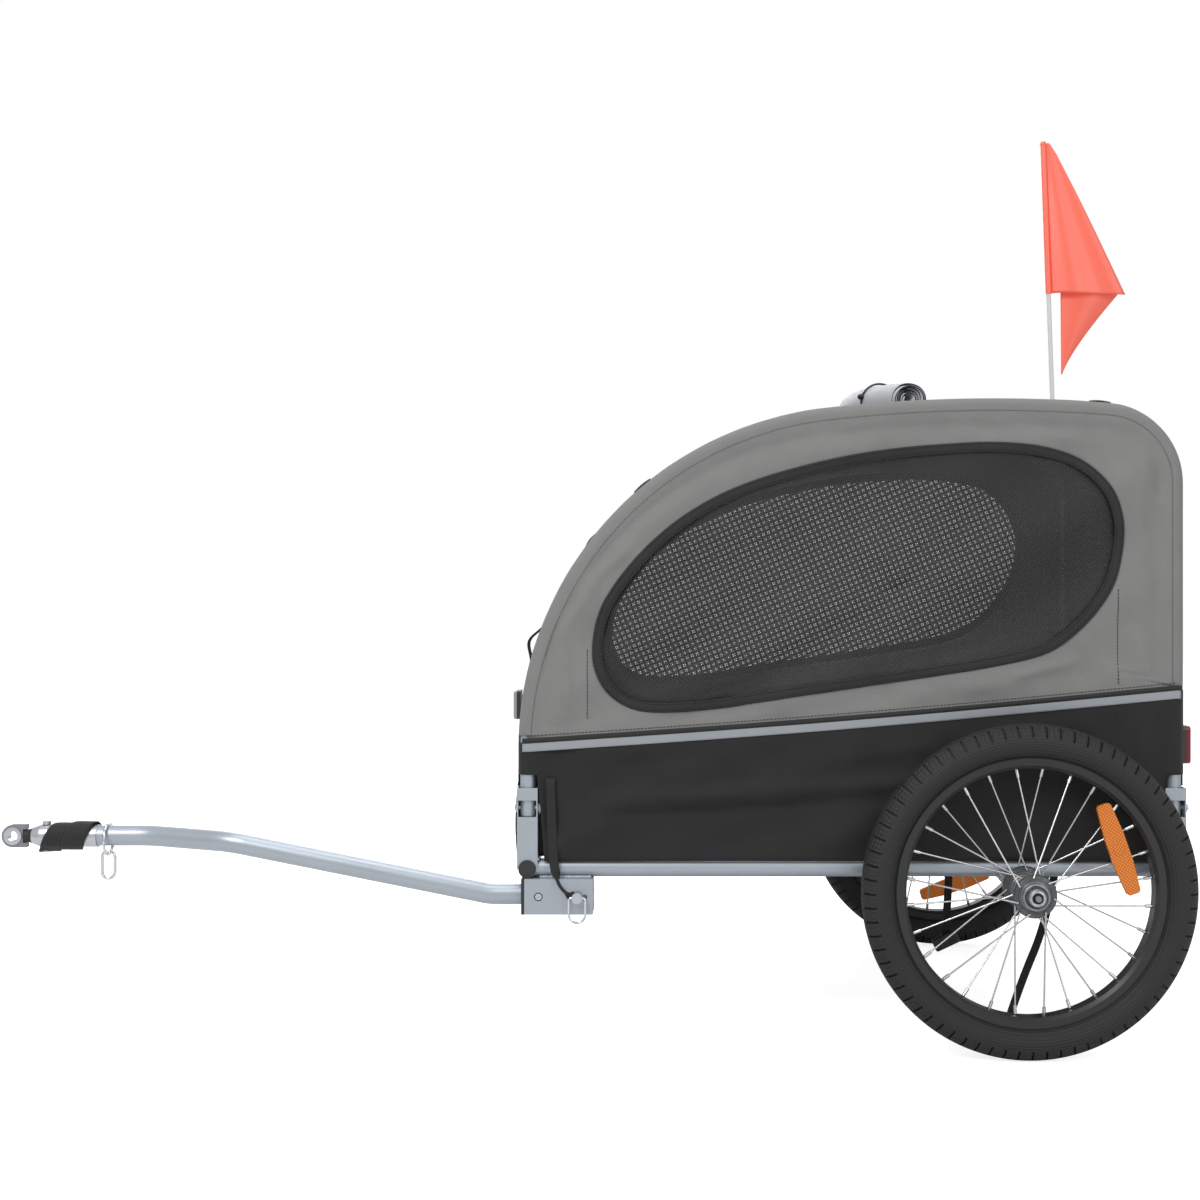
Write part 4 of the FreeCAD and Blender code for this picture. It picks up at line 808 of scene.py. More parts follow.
def stripe_z(x):
    """Top of the black panel: a straight seam that sags a little between its ends."""
    share = (FRONT - x) / (FRONT - REAR)
    return STRIPE_FRONT_Z + (STRIPE_REAR_Z - STRIPE_FRONT_Z) * share - STRIPE_SAG * math.sin(math.pi * share)


def seam_z(x):
    """The seam's height, level past the ends of the side."""
    return stripe_z(min(max(x, REAR), FRONT))


def rounded(points, passes=3):
    """Cuts the corners of a closed outline until it runs smooth."""
    ring = [Vector(point) for point in points]
    for step in range(passes):
        ring = [spot for here, there in zip(ring, ring[1:] + ring[:1])
                for spot in (here.lerp(there, 0.25), here.lerp(there, 0.75))]
    return ring


def hit(ring, middle, angle):
    """Where a ray from the middle crosses a closed outline."""
    along = ray(angle)
    best = None
    for here, there in zip(ring, ring[1:] + ring[:1]):
        edge = there - here
        cross = along.x * edge.y - along.y * edge.x
        if abs(cross) < 1e-12:
            continue
        gap = here - middle
        reach = (gap.x * edge.y - gap.y * edge.x) / cross
        share = (gap.x * along.y - gap.y * along.x) / cross
        if reach > 0 and -1e-9 <= share <= 1 + 1e-9 and (best is None or reach < best):
            best = reach
    return middle + along * best


window_ring = rounded(WINDOW)
front_seam_run = stripe_z(FRONT) - FOOT
rear_seam_run = HOOP_RUN - (stripe_z(REAR) - FOOT)
panel_ring = []
for step in range(PANEL_STEPS + 1):
    run = front_seam_run + (rear_seam_run - front_seam_run) * step / PANEL_STEPS
    panel_ring.append(Vector(hoop_at(run, 0.0)[:2]))
for step in range(1, SEAM_STEPS):
    x = REAR + (FRONT - REAR) * step / SEAM_STEPS
    panel_ring.append(Vector((x, stripe_z(x))))
seam_ends = (panel_ring[0], panel_ring[PANEL_STEPS])
corner_angles = [math.atan2(*reversed(corner - WINDOW_MIDDLE)) for corner in seam_ends]
ray_angles = sorted([2 * math.pi * step / RAY_COUNT - math.pi for step in range(RAY_COUNT)] + corner_angles)
window_edge = [hit(window_ring, WINDOW_MIDDLE, angle) for angle in ray_angles]
panel_edge = [hit(panel_ring, WINDOW_MIDDLE, angle) for angle in ray_angles]
print("window", round(max(p.x for p in window_edge) - min(p.x for p in window_edge), 3), "m wide")


# %% [markdown]
# The cloth bellies out a little between its seams. Broad swells, long slanting folds and
# small puckers are noise of three sizes. Single pulls, read from the photograph, run from
# place to place. All of them die out at the hoop, where the sewn edge rolls.

# %% Creases of the sides
SIDE_Y = 0.2762
SWELL, FOLD, PUCKER = 0.006, 0.0085, 0.0042
# height of a roll beside the hoop, its distance from the hoop and its width
ROLL_RISE, ROLL_DROP = (0.0020, 0.042, 0.012), (0.0022, 0.021, 0.007)
# height of a pull, then where it begins and ends, and its width
PULLS = [(0.0045, (0.060, 0.772, -0.070, 0.738, 0.007)), (-0.0040, (0.080, 0.760, -0.060, 0.748, 0.008)),
         (0.0040, (0.260, 0.742, 0.180, 0.765, 0.006)), (0.0035, (-0.140, 0.735, -0.175, 0.640, 0.008)),
         (-0.0030, (-0.155, 0.700, -0.160, 0.560, 0.008)), (0.0035, (0.545, 0.560, 0.470, 0.610, 0.007)),
         (0.0035, (0.560, 0.500, 0.548, 0.420, 0.008)), (0.0030, (0.420, 0.392, 0.250, 0.412, 0.006)),
         (0.0030, (0.020, 0.450, -0.080, 0.475, 0.007)), (0.0035, (-0.130, 0.520, -0.165, 0.455, 0.007)),
         (0.0035, (0.440, 0.300, 0.300, 0.322, 0.008)), (-0.0030, (0.420, 0.285, 0.260, 0.300, 0.008)),
         (0.0040, (0.535, 0.345, 0.500, 0.255, 0.009)), (0.0030, (0.230, 0.352, 0.090, 0.372, 0.007))]


def ridge_share(x, z, x0, z0, x1, z1, width):
    """1 on a line between two places, falling off across its width and towards both ends."""
    along = Vector((x1 - x0, z1 - z0))
    gap = Vector((x - x0, z - z0))
    share = gap.dot(along) / along.length_squared
    across = (gap - along * share).length
    return hump(across, 0.0, width) * smooth_step(share, 0.0, 0.25) * (1 - smooth_step(share, 0.75, 1.0))


def belly(x, z, sign):
    """How far the side cloth stands out: a swell and long creases that die out at the hoop."""
    inside = min(FRONT - x, x - REAR)
    below = hoop_at(run_at(min(max(x, REAR), FRONT)), 0.0)[1] - z
    free = smooth_step(inside, 0.0, 0.06) * smooth_step(below, 0.0, 0.05)
    swell = SWELL * noise.noise(Vector((x * 5.0, 2.0 * sign, z * 5.0)))
    folds = FOLD * noise.noise(Vector((x * 9.0 + z * 14.0, 7.0 * sign, z * 4.0)))
    puckers = PUCKER * noise.noise(Vector((x * 30.0 - z * 18.0, 11.0 * sign, z * 13.0)))
    edge = min(inside, below)
    slack = 1 + 0.9 * noise.noise(Vector((x * 11, sign, z * 11)))
    roll = (ROLL_RISE[0] * hump(edge, *ROLL_RISE[1:]) - ROLL_DROP[0] * hump(edge, *ROLL_DROP[1:])) * slack
    pulls = sum(height * ridge_share(x, z, *line) for height, line in PULLS)
    held = smooth_step(abs(z - seam_z(x) + 0.003), 0.010, 0.034)
    return held * (free * (swell + folds + puckers + pulls) + roll) + crease(x, sign, z, 0.02, 0.0003)


def side_spot(x, z, sign, lift=0.0):
    return at(x, sign * (SIDE_Y + belly(x, z, sign) + lift), z)


print("pulls", len(PULLS))


# %% [markdown]
# The grey panel runs flat from the window to the hoop. Its outer quarter then rolls round
# the hoop, as sewn canvas does. Along the seam it simply ends.

# %% Grey upper panels
FLAT_SHARE, WRAP = 0.75, math.radians(82)
HOOP_SKIN = 0.0112


def upper_panel(side, sign):
    def lay(u, v):
        index = nearest(ray_angles, u)
        inner, outer = window_edge[index], panel_edge[index]
        on_hoop = outer.y > stripe_z(outer.x) + 0.0005
        if not on_hoop or v <= FLAT_SHARE:
            spot = inner.lerp(outer, v / FLAT_SHARE if on_hoop else v)
            return side_spot(spot.x, spot.y, sign), (spot.x, spot.y)
        wrapped = (v - FLAT_SHARE) / (1 - FLAT_SHARE)
        turn = wrapped * WRAP
        out = hoop_normal(outer)
        reach = HOOP_SKIN + belly(outer.x, outer.y, sign) * (1 - wrapped)
        spot = outer + out * (math.sin(turn) * HOOP_SKIN)
        place = at(spot.x, sign * (HOOP_Y + math.cos(turn) * reach), spot.y)
        return place, (spot.x + out.x * turn * HOOP_SKIN, spot.y + out.y * turn * HOOP_SKIN)

    piece = cloth(side + "_upper_panel", len(ray_angles), 24, lay, [GREY_CLOTH])
    return fit(piece, side + "_hoop", side + "_side_panel")


upper_panels = {side: upper_panel(side, sign) for side, sign in SIDES}
print("upper panels laid")


# %% [markdown]
# The black lower panel hangs from the seam to the rail. It is cut away in an arch over
# each post. One long ridge and a pull at the front corner shape it.

# %% Black lower panels
RAIL_TOP, POST_ARCH_Z = 0.2295, 0.334
FRONT_ARCH, REAR_ARCH = (0.580, 0.5868), (0.166, 0.1738)
PANEL_PAST = 0.0108
RIDGE_X, RIDGE_Z, RIDGE_SLOPE = 0.517, 0.302, 0.06


def lower_edge(x):
    front = smooth_step(x, *FRONT_ARCH)
    rear = smooth_step(-x, *REAR_ARCH)
    return RAIL_TOP + (POST_ARCH_Z - RAIL_TOP) * max(front, rear)


def lower_panel(side, sign):
    def lay(u, v):
        x = FRONT + PANEL_PAST + (REAR - FRONT - 2 * PANEL_PAST) * u
        low = lower_edge(x)
        z = low + (seam_z(x) - low) * v
        above = z - RIDGE_Z - RIDGE_SLOPE * (RIDGE_X - x)
        ridge = 0.0070 * hump(above, 0.0, 0.009) - 0.0045 * hump(above, -0.017, 0.005)
        ridge *= smooth_step(x, 0.04, 0.16) * (1 - smooth_step(x, 0.48, 0.53))
        pull = -0.004 * hump(x, 0.56, 0.02) * smooth_step(z, 0.24, 0.33)
        corner = max(0.0, abs(x - (FRONT + REAR) / 2) - (FRONT - REAR) / 2)
        loose = smooth_step(z, RAIL_TOP, RAIL_TOP + 0.030)
        out = SIDE_Y + loose * (belly(x, z, sign) + ridge + pull) - corner * corner * 60
        return at(x, sign * out, z), (x, z)

    piece = cloth(side + "_lower_panel", 180, 26, lay, [BLACK_CLOTH])
    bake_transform(piece)
    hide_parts("tub_sides")
    return piece


lower_panels = {side: lower_panel(side, sign) for side, sign in SIDES}
print("lower panels laid")


# %% [markdown]
# Stripe, piping and the window's binding are tapes sewn on top. Each is a narrow grid with
# a low crown, laid along its line with a little lift so that it rests on the canvas.

# %% Stripe and piping
TAPE_PAST = 0.006


def seam_tape(name, side, sign, finish, low, high, lift, crown):
    def lay(u, v):
        x = FRONT + TAPE_PAST + (REAR - FRONT - 2 * TAPE_PAST) * u
        z = seam_z(x) + low + (high - low) * v
        bow = crown * math.sin(math.pi * v)
        return side_spot(x, z, sign, lift + bow), (x, z)

    fit(cloth(side + name, 180, 6, lay, [finish], 0.0008), side + "_hoop")


for side, sign in SIDES:
    seam_tape("_stripe", side, sign, STRIPE_CLOTH, -STRIPE_H, 0.0, 0.0012, 0.0003)
    seam_tape("_piping", side, sign, BINDING, -0.0005, 0.0055, 0.001, 0.0022)
print("stripes and piping laid")


# %% Window binding and net
BINDING_WIDE, BINDING_IN = 0.012, 0.005


def window_tape(side, sign):
    def lay(u, v):
        index = nearest(window_edge, u)
        spot = window_edge[index] + ring_out(window_edge, index) * (BINDING_WIDE * (v - 0.5) - BINDING_IN)
        crown = 0.0016 * math.sin(math.pi * v)
        return side_spot(spot.x, spot.y, sign, 0.0008 + crown), (u * 2.0, v * BINDING_WIDE)

    piece = cloth(side + "_window_binding", len(window_edge), 6, lay, [BINDING], 0.001)
    return fit(piece, side + "_hoop")


def window_net(side, sign):
    def lay(u, v):
        spot = WINDOW_MIDDLE.lerp(window_edge[nearest(window_edge, u)], max(v, 0.0005))
        slack = -0.003 * (1 - v * v) + 0.0012 * noise.noise(Vector((spot.x * 16, sign * 3.0, spot.y * 16)))
        return side_spot(spot.x, spot.y, sign, slack - 0.0006), (spot.x, spot.y)

    piece = cloth(side + "_window_net", len(window_edge), 12, lay, [NETS[side]], 0.0004)
    return fit(piece, side + "_hoop", side + "_window_mesh")


window_tapes = {side: window_tape(side, sign) for side, sign in SIDES}
window_nets = {side: window_net(side, sign) for side, sign in SIDES}
print("windows laid")


# %% [markdown]
# ## Roof, front and rear
# One strip of canvas runs over both hoops, sewn from three panels. It hangs slack between
# the hoops, so it dips in the middle, and the rear one bulges out at its upper bend.

# %% Front and rear canvas
BAND, BAND_HALF, BAND_FREE = 0.0114, 0.2652, 0.272
RUN_FRONT, RUN_REAR = run_at(0.432), run_at(-0.118)
FRONT_SEED, ROOF_SEED, REAR_SEED = 1.0, 2.0, 3.0
REAR_BLACK = 0.042
BULGE, BULGE_Z, BULGE_WIDE = 0.011, 0.665, 0.03


def band_spot(run, y, dip, seed, lift=0.0):
    """A place on the strip, at a length along the hoop and a place across it."""
    x, z, nx, nz = hoop_at(run, 0.0)
    slack = dip * (1 - (y / BAND_HALF) ** 2) if abs(y) < BAND_HALF else 0.0
    ripple = crease(run, y, seed, 0.09, 0.0022) + crease(run * 1.7, y * 0.6, seed, 0.035, 0.0008)
    out = BAND - slack + ripple * min(1.0, 8 * (1 - abs(y) / BAND_FREE)) + lift
    return at(x + nx * out, y, z + nz * out)


def band_panel(name, begin, end, dip, columns, seed, node, black):
    def lay(u, v):
        run = begin + (end - begin) * u
        y = BAND_HALF * (2 * v - 1)
        return band_spot(run, y, dip(run), seed), (run, y)

    def choose(u, v):
        return 1 if black(begin + (end - begin) * u) else 0

    piece = cloth(name, columns, 48, lay, [GREY_CLOTH, BLACK_CLOTH], choose=choose)
    return fit(piece, "chassis", node, folds=True)


def front_dip(run):
    return 0.007 * math.sin(math.pi * min(1.0, run / RUN_FRONT)) + 0.004


def rear_dip(run):
    share = (run - RUN_REAR) / (HOOP_RUN - RUN_REAR)
    bulge = BULGE * hump(HOOP_RUN - run, BULGE_Z - FOOT, BULGE_WIDE)
    return 0.006 * math.sin(math.pi * share) + 0.005 * (1 - share) - bulge


front_cover = band_panel("front_cover", 0.0, RUN_FRONT, front_dip, 90, FRONT_SEED, "front_panel",
                         lambda run: run < front_seam_run)
rear_cover = band_panel("rear_cover", RUN_REAR, HOOP_RUN, rear_dip, 80, REAR_SEED, "rear_panel",
                        lambda run: run > HOOP_RUN - REAR_BLACK)
print("front and rear laid")


# %% [markdown]
# The roof has the open hatch. Its grid is denser along the hatch, so that the cut runs
# along grid lines: the shares of the grid where the hatch begins and ends are knots.

# %% Roof with its hatch
RUN_HATCH_FRONT, RUN_HATCH_REAR = run_at(0.420), run_at(0.098)
HATCH_HALF, ROOF_DIP = 0.215, 0.010
HATCH_U, HATCH_V = (0.04, 0.6), (0.1, 0.9)
ROOF_RUNS = [(0.0, RUN_FRONT), (HATCH_U[0], RUN_HATCH_FRONT), (HATCH_U[1], RUN_HATCH_REAR), (1.0, RUN_REAR)]
ROOF_YS = [(0.0, -BAND_HALF), (HATCH_V[0], -HATCH_HALF), (HATCH_V[1], HATCH_HALF), (1.0, BAND_HALF)]


def roof_spot(u, v):
    run, y = between(ROOF_RUNS, u), between(ROOF_YS, v)
    return band_spot(run, y, ROOF_DIP, ROOF_SEED), (run, y)


def in_hatch(u, v):
    return HATCH_U[0] < u < HATCH_U[1] and HATCH_V[0] < v < HATCH_V[1]


roof_cover = cloth("roof_cover", 100, 60, roof_spot, [GREY_CLOTH], hole=in_hatch)
fit(roof_cover, "chassis", "roof_panel", folds=True)
print("roof laid")


# %% [markdown]
# Two tapes across the roof hide the battens, and a binding hems the hatch. The hem's line
# is a rectangle with round corners, walked in even steps.

# %% Tapes across the roof
TAPE_WIDE = 0.025


def roof_tape(name, centre_x, node=None):
    middle_run = run_at(centre_x)

    def lay(u, v):
        run = middle_run + TAPE_WIDE * (v - 0.5)
        y = BAND_HALF * (2 * u - 1)
        lift = 0.0014 + 0.0010 * math.sin(math.pi * v)
        return band_spot(run, y, ROOF_DIP, ROOF_SEED, lift), (y, run)

    return fit(cloth(name, 60, 6, lay, [GREY_CLOTH], 0.001), "chassis", node, folds=True)


front_tape = roof_tape("front_roof_tape", 0.4525, "roof_battens")
rear_tape = roof_tape("rear_roof_tape", -0.0975)
print("roof tapes laid")

# %% Hem of the hatch
HEM_CORNER, HEM_STEP, HEM_WIDE, HEM_INSIDE = 0.03, 0.012, 0.016, 0.35


def hatch_hem():
    length = RUN_HATCH_REAR - RUN_HATCH_FRONT
    centre = (RUN_HATCH_FRONT + RUN_HATCH_REAR) / 2
    ring = []
    for sx, sy, begin in ((1, 1, 0), (-1, 1, 90), (-1, -1, 180), (1, -1, 270)):
        for step in range(9):
            turn = math.radians(begin + 90 * step / 8)
            ring.append(Vector((sx * (length / 2 - HEM_CORNER) + HEM_CORNER * math.cos(turn),
                                sy * (HATCH_HALF - HEM_CORNER) + HEM_CORNER * math.sin(turn))))
    steps = []
    for here, there in zip(ring, ring[1:] + ring[:1]):
        parts = max(1, int((there - here).length / HEM_STEP))
        steps += [here.lerp(there, part / parts) for part in range(parts)]

    def lay(u, v):
        index = nearest(steps, u)
        spot = steps[index] + ring_out(steps, index) * (HEM_WIDE * (v - HEM_INSIDE))
        lift = 0.0012 + 0.0016 * math.sin(math.pi * v)
        return band_spot(centre + spot.x, spot.y, ROOF_DIP, ROOF_SEED, lift), (u * 1.2, v * HEM_WIDE)

    piece = cloth("hatch_hem", len(steps), 6, lay, [BINDING], 0.001)
    return fit(piece, "chassis", folds=True)


hem = hatch_hem()
print("hatch hemmed")


# %% [markdown]
# Two webbing straps run down the front cover. They are sewn at their ends and stand off in
# a few slack places, which show as small loops in the side view.

# %% Straps on the front cover
STRAP_BEGIN, STRAP_END, FRONT_STRAP_WIDE, FRONT_STRAP_Y = 0.07, RUN_FRONT - 0.05, 0.018, 0.21
# how far a slack place stands off, its height and its half width
SLACK_PLACES = ((0.013, 0.487, 0.017), (0.006, 0.682, 0.014), (0.004, 0.612, 0.012))


def front_strap(name, y):
    def lay(u, v):
        run = STRAP_BEGIN + (STRAP_END - STRAP_BEGIN) * u
        z = hoop_at(run, 0.0)[1]
        loop = sum(depth * hump(z, height, wide) for depth, height, wide in SLACK_PLACES)
        place = band_spot(run, y + FRONT_STRAP_WIDE * (v - 0.5), front_dip(run), FRONT_SEED, 0.0018 + loop)
        return place, (run, FRONT_STRAP_WIDE * v)

    fit(cloth(name, 120, 4, lay, [WEBBING], 0.0014), "chassis", folds=True)


for side, sign in SIDES:
    front_strap(side + "_front_strap", sign * FRONT_STRAP_Y)
print("front straps laid")

# %% Lower front and rear
TUB_HALF, TUB_LOW, TUB_H, TUB_OUT = 0.250, RAIL_TOP - 0.001, FOOT + 0.003 - RAIL_TOP, 0.0020


def end_tub(name, x, node, face):
    def lay(u, v):
        y = TUB_HALF * (2 * u - 1)
        z = TUB_LOW + TUB_H * v
        sag = crease(y, z, face, 0.08, 0.002) + 0.003 * math.sin(math.pi * v)
        return at(x + face * sag, y, z), (y, z)

    return fit(cloth(name, 60, 14, lay, [BLACK_CLOTH]), "chassis", node)


tub_front = end_tub("front_tub", FRONT + BAND + TUB_OUT, "tub_front", 1)
tub_rear = end_tub("rear_tub", REAR - BAND - TUB_OUT, "tub_rear", -1)
print("lower front and rear laid")


# %% [markdown]
# ## Rolled hatch cover
# The hatch cover is rolled up and tied. It is one long sheet wound in a spiral: pale
# lining outside, dark edges that show as rings at the end. Loose winding makes every turn
# a little different.

# %% The roll
ROLL_LOW, ROLL_HIGH = node_box("cover_roll")
ROLL_MIDDLE = (ROLL_LOW + ROLL_HIGH) / 2
ROLL_OUT = (ROLL_HIGH.z - ROLL_LOW.z) / 2
ROLL_CORE, ROLL_TURNS, ROLL_HALF = 0.0055, 5.2, 0.200
BOW_AHEAD, BOW_UP = 0.042, 0.008


def roll_bow(y):
    """The roll is tied at its ends and bows forward and up between them."""
    share = 1 - (y / ROLL_HALF) ** 2
    return Vector((BOW_AHEAD * share, 0.0, BOW_UP * share))


def wound(u, v):
    turn = 2 * math.pi * ROLL_TURNS * u
    y = ROLL_HALF * (2 * v - 1)
    slip = 0.004 * math.sin(turn * 0.31 + 1.0) * (1 if y > 0 else -1) * smooth_step(abs(y), 0.12, 0.2)
    radius = ROLL_CORE + (ROLL_OUT - ROLL_CORE) * u ** 0.9
    radius += 0.0006 * math.sin(turn * 0.63 + 9 * y) + crease(turn * 0.1, y, 5.0, 0.08, 0.0008)
    angle = -turn + 0.6
    place = Vector((ROLL_MIDDLE.x + radius * math.cos(angle), y + slip,
                    ROLL_MIDDLE.z + radius * math.sin(angle) * 0.96))
    return place + roll_bow(y), (turn * (ROLL_CORE + (ROLL_OUT - ROLL_CORE) * u * 0.53), y)


cover_roll = cloth("rolled_cover", 260, 40, wound, [ROLL_CLOTH, ROLL_EDGE], 0.0016, rim=1)
fit(cover_roll, "chassis", "cover_roll", folds=True)
print("cover rolled in", ROLL_TURNS, "turns")

# %% Ties round the roll
CORD_R, BEAD_R, TIE_Y = 0.0014, 0.0042, 0.12


def tie(name, y, node=None):
    """An elastic cord ring with a moulded toggle where it closes."""
    ring = bmesh.new()
    loop = bmesh.ops.create_circle(ring, segments=10, radius=CORD_R)["verts"]
    bmesh.ops.translate(ring, verts=loop, vec=(ROLL_OUT + 0.002, 0, 0))
    bmesh.ops.spin(ring, geom=ring.edges[:], axis=(0, 1, 0), cent=(0, 0, 0), angle=2 * math.pi, steps=64,
                   use_merge=True)
    bmesh.ops.remove_doubles(ring, verts=ring.verts, dist=MERGE)
    bead = bmesh.ops.create_uvsphere(ring, u_segments=16, v_segments=10, radius=BEAD_R)["verts"]
    bmesh.ops.scale(ring, verts=bead, vec=(1.0, 1.7, 0.9))
    bmesh.ops.translate(ring, verts=bead, vec=Vector((0.96, 0, 0.28)) * (ROLL_OUT + 0.004))
    bmesh.ops.recalc_face_normals(ring, faces=ring.faces)
    bmesh.ops.translate(ring, verts=ring.verts, vec=roll_bow(y) + Vector((ROLL_MIDDLE.x, y, ROLL_MIDDLE.z)))
    ring.loops.layers.uv.new("cloth")
    fit(finished(name, ring, BLACK_PLASTIC), "chassis", node, folds=True)


tie("left_roll_tie", TIE_Y, "roll_ties")
tie("right_roll_tie", -TIE_Y)
print("roll tied")


# %% [markdown]
# ## Webbing
# Webbing runs follow a smooth NURBS line through a few route points. The strap's width
# is carried along that line, turning where the real strap twists.

# %% Strap helper
def smooth_run(points):
    """The points of a NURBS line through the route, close together."""
    curve = bpy.data.curves.new("route", "CURVE")
    curve.dimensions = "3D"
    curve.resolution_u = 14
    spline = curve.splines.new("NURBS")
    spline.points.add(len(points) - 1)
    for spot, point in zip(spline.points, points):
        spot.co = (*point, 1.0)
    spline.order_u = 3
    spline.use_endpoint_u = True
    holder = bpy.data.objects.new("route", curve)
    mesh = bpy.data.meshes.new_from_object(holder)
    run = [vert.co.copy() for vert in mesh.vertices]
    bpy.data.objects.remove(holder)
    bpy.data.meshes.remove(mesh)
    return run


def length_of(run):
    return sum((there - here).length for here, there in zip(run, run[1:]))


def strap(name, run, across, width):
    """A flat strap; across(share) gives its width direction."""
    last, length = len(run) - 1, length_of(run)

    def lay(u, v):
        index = int(round(u * last))
        ahead = (run[min(index + 1, last)] - run[max(index - 1, 0)]).normalized()
        wide = across(index / last)
        wide = (wide - ahead * wide.dot(ahead)).normalized()
        return run[index] + wide * width * (v - 0.5), (u * length, width * v)

    return cloth(name, last, 6, lay, [WEBBING], 0.0014)


# %% Straps under the floor
X_WIDE, HANGING_WIDE = Vector((1, 0, 0)), 0.010


def hanging_strap(name, points, node=None):
    run = smooth_run([at(*point) for point in points])
    piece = fit(strap(name, run, lambda share: X_WIDE, HANGING_WIDE), "chassis", node)
    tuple(run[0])
    length_of(run)


hanging_strap("lead_strap", [(0.056, 0.100, 0.231), (0.056, 0.100, 0.212), (0.058, 0.100, 0.150),
                             (0.062, 0.100, 0.096)], "under_straps")
hanging_strap("tail_strap", [(-0.074, 0.150, 0.231), (-0.074, 0.150, 0.205), (-0.056, 0.150, 0.120),
                             (-0.029, 0.150, 0.056), (-0.014, 0.150, 0.012)])
print("hanging straps made")

# %% Tether of the lock pin
TETHER_WIDE, TETHER_TWIST = 0.011, math.radians(72)
tether_run = smooth_run([at(0.572, 0.2782, 0.330), at(0.569, 0.2785, 0.236), at(0.565, 0.2862, 0.215),
                         at(0.557, 0.2862, 0.1955), at(0.545, 0.2862, 0.1885)])


def tether_width(share):
    turn = TETHER_TWIST * smooth_step(share, 0.42, 0.6) * (1 - smooth_step(share, 0.86, 1.0))
    return Vector((math.cos(turn), math.sin(turn), 0.0))


tether = strap("pin_tether_strap", tether_run, tether_width, TETHER_WIDE)
fit(tether, "chassis", "pin_tether")
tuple(tether_run[0])
length_of(tether_run)
print("tether", round(length_of(tether_run), 3), "m long")


# %% [markdown]
# The safety strap is wound round the hitch sleeve in two turns that overlap. Each turn
# slants across the side in view. The front end is cut straight and stands off below.

# %% Safety strap
SLEEVE_LOW, SLEEVE_HIGH = node_box("hitch_sleeve")
SLEEVE_MIDDLE = (SLEEVE_LOW + SLEEVE_HIGH) / 2
# angle from the near side in degrees, place along the sleeve, radius
STRAP_TURN = [(-112, 1.2030, 0.0215), (-90, 1.2010, 0.0190), (-55, 1.1970, 0.0160), (90, 1.1790, 0.0158),
              (270, 1.1740, 0.0166), (310, 1.1700, 0.0176), (450, 1.1560, 0.0172), (575, 1.1520, 0.0178)]
STRAP_WIDE, STRAP_MEAN_R, STRAP_SLANT = 0.026, 0.0165, 14


def winding(u, v):
    """Walks the list of turns; short stretches ease in and out, long ones run even."""
    angle = STRAP_TURN[0][0] + (STRAP_TURN[-1][0] - STRAP_TURN[0][0]) * u
    for (a0, x0, r0), (a1, x1, r1) in zip(STRAP_TURN, STRAP_TURN[1:]):
        if angle <= a1 + 1e-6:
            share = smooth_step(angle, a0, a1) if a1 - a0 < 60 else (angle - a0) / (a1 - a0)
            x, radius = x0 + (x1 - x0) * share, r0 + (r1 - r0) * share
            break
    radius += 0.0005 * noise.noise(Vector((x * 90, v * 2.0, angle * 0.02)))
    turn = math.radians(angle + STRAP_SLANT * (v - 0.5))
    place = at(x + STRAP_WIDE * (v - 0.5), 0, 0)
    place.y = SLEEVE_MIDDLE.y + radius * math.cos(turn)
    place.z = SLEEVE_MIDDLE.z + radius * math.sin(turn)
    return place, (math.radians(angle) * STRAP_MEAN_R, v * STRAP_WIDE)


fit(cloth("safety_strap_winding", 160, 10, winding, [WEBBING], 0.0014), "chassis", "safety_strap")
print("safety strap wound")


# %% [markdown]
# ## Hitch core
# The rubber core joins the drawbar to the eye and bends in use. It bends up and down, and
# sideways, about one point in its neck. The rear half reaches from the drawbar to that
# point, the front half turns with the eye, and both end in a round so the bend stays closed.

# %% Rubber core
CORE_LOW, CORE_HIGH = node_box("hitch_core")
CORE_MIDDLE = (CORE_LOW + CORE_HIGH) / 2
NOSE, NECK, BEND_X = SLEEVE_HIGH.x, 0.0081, 0.7392
PLUG_R, COLLAR_R, COLLAR_END_R, TAIL_R = 0.0105, 0.0096, 0.0092, 0.0070


def core_half(name, profile):
    core = bmesh.new()
    verts = [core.verts.new((x, 0, radius)) for x, radius in profile]
    edges = [core.edges.new(pair) for pair in zip(verts, verts[1:])]
    bmesh.ops.subdivide_edges(core, edges=edges, cuts=2)
    bmesh.ops.spin(core, geom=core.verts[:] + core.edges[:], axis=(1, 0, 0), cent=(0, 0, 0),
                   angle=2 * math.pi, steps=40, use_merge=True)
    bmesh.ops.remove_doubles(core, verts=core.verts, dist=MERGE)
    bmesh.ops.recalc_face_normals(core, faces=core.faces)
    bmesh.ops.translate(core, verts=core.verts, vec=(0, CORE_MIDDLE.y, CORE_MIDDLE.z))
    piece = finished(name, core, CORE_RUBBER)
    return piece


def half_round(radius, reach):
    """The quarter arc that closes a half at the bend, reaching ahead or back."""
    return [(BEND_X + reach * math.sin(math.radians(turn)), radius * math.cos(math.radians(turn)))
            for turn in range(0, 91, 15)]


rear_core = core_half("rubber_core_rear", [
    (CORE_LOW.x, 0.0), (CORE_LOW.x, PLUG_R), (NOSE - 0.0125, PLUG_R), (NOSE - 0.0115, NECK), (NOSE, NECK),
    (NOSE + 0.0003, COLLAR_R), (NOSE + 0.0022, COLLAR_END_R), (NOSE + 0.0038, NECK),
    *half_round(NECK - 0.0001, 0.0048)])
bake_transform(rear_core)
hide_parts("hitch_core")
front_core = core_half("rubber_core_front", [
    *reversed(half_round(NECK, -NECK)),
    (CORE_HIGH.x - 0.001, NECK), (CORE_HIGH.x, TAIL_R), (CORE_HIGH.x, 0.0)])
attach(front_core, "hitch_eye")
print("nose", round(NOSE, 4), "bend", BEND_X, "core end", round(CORE_HIGH.x, 4))


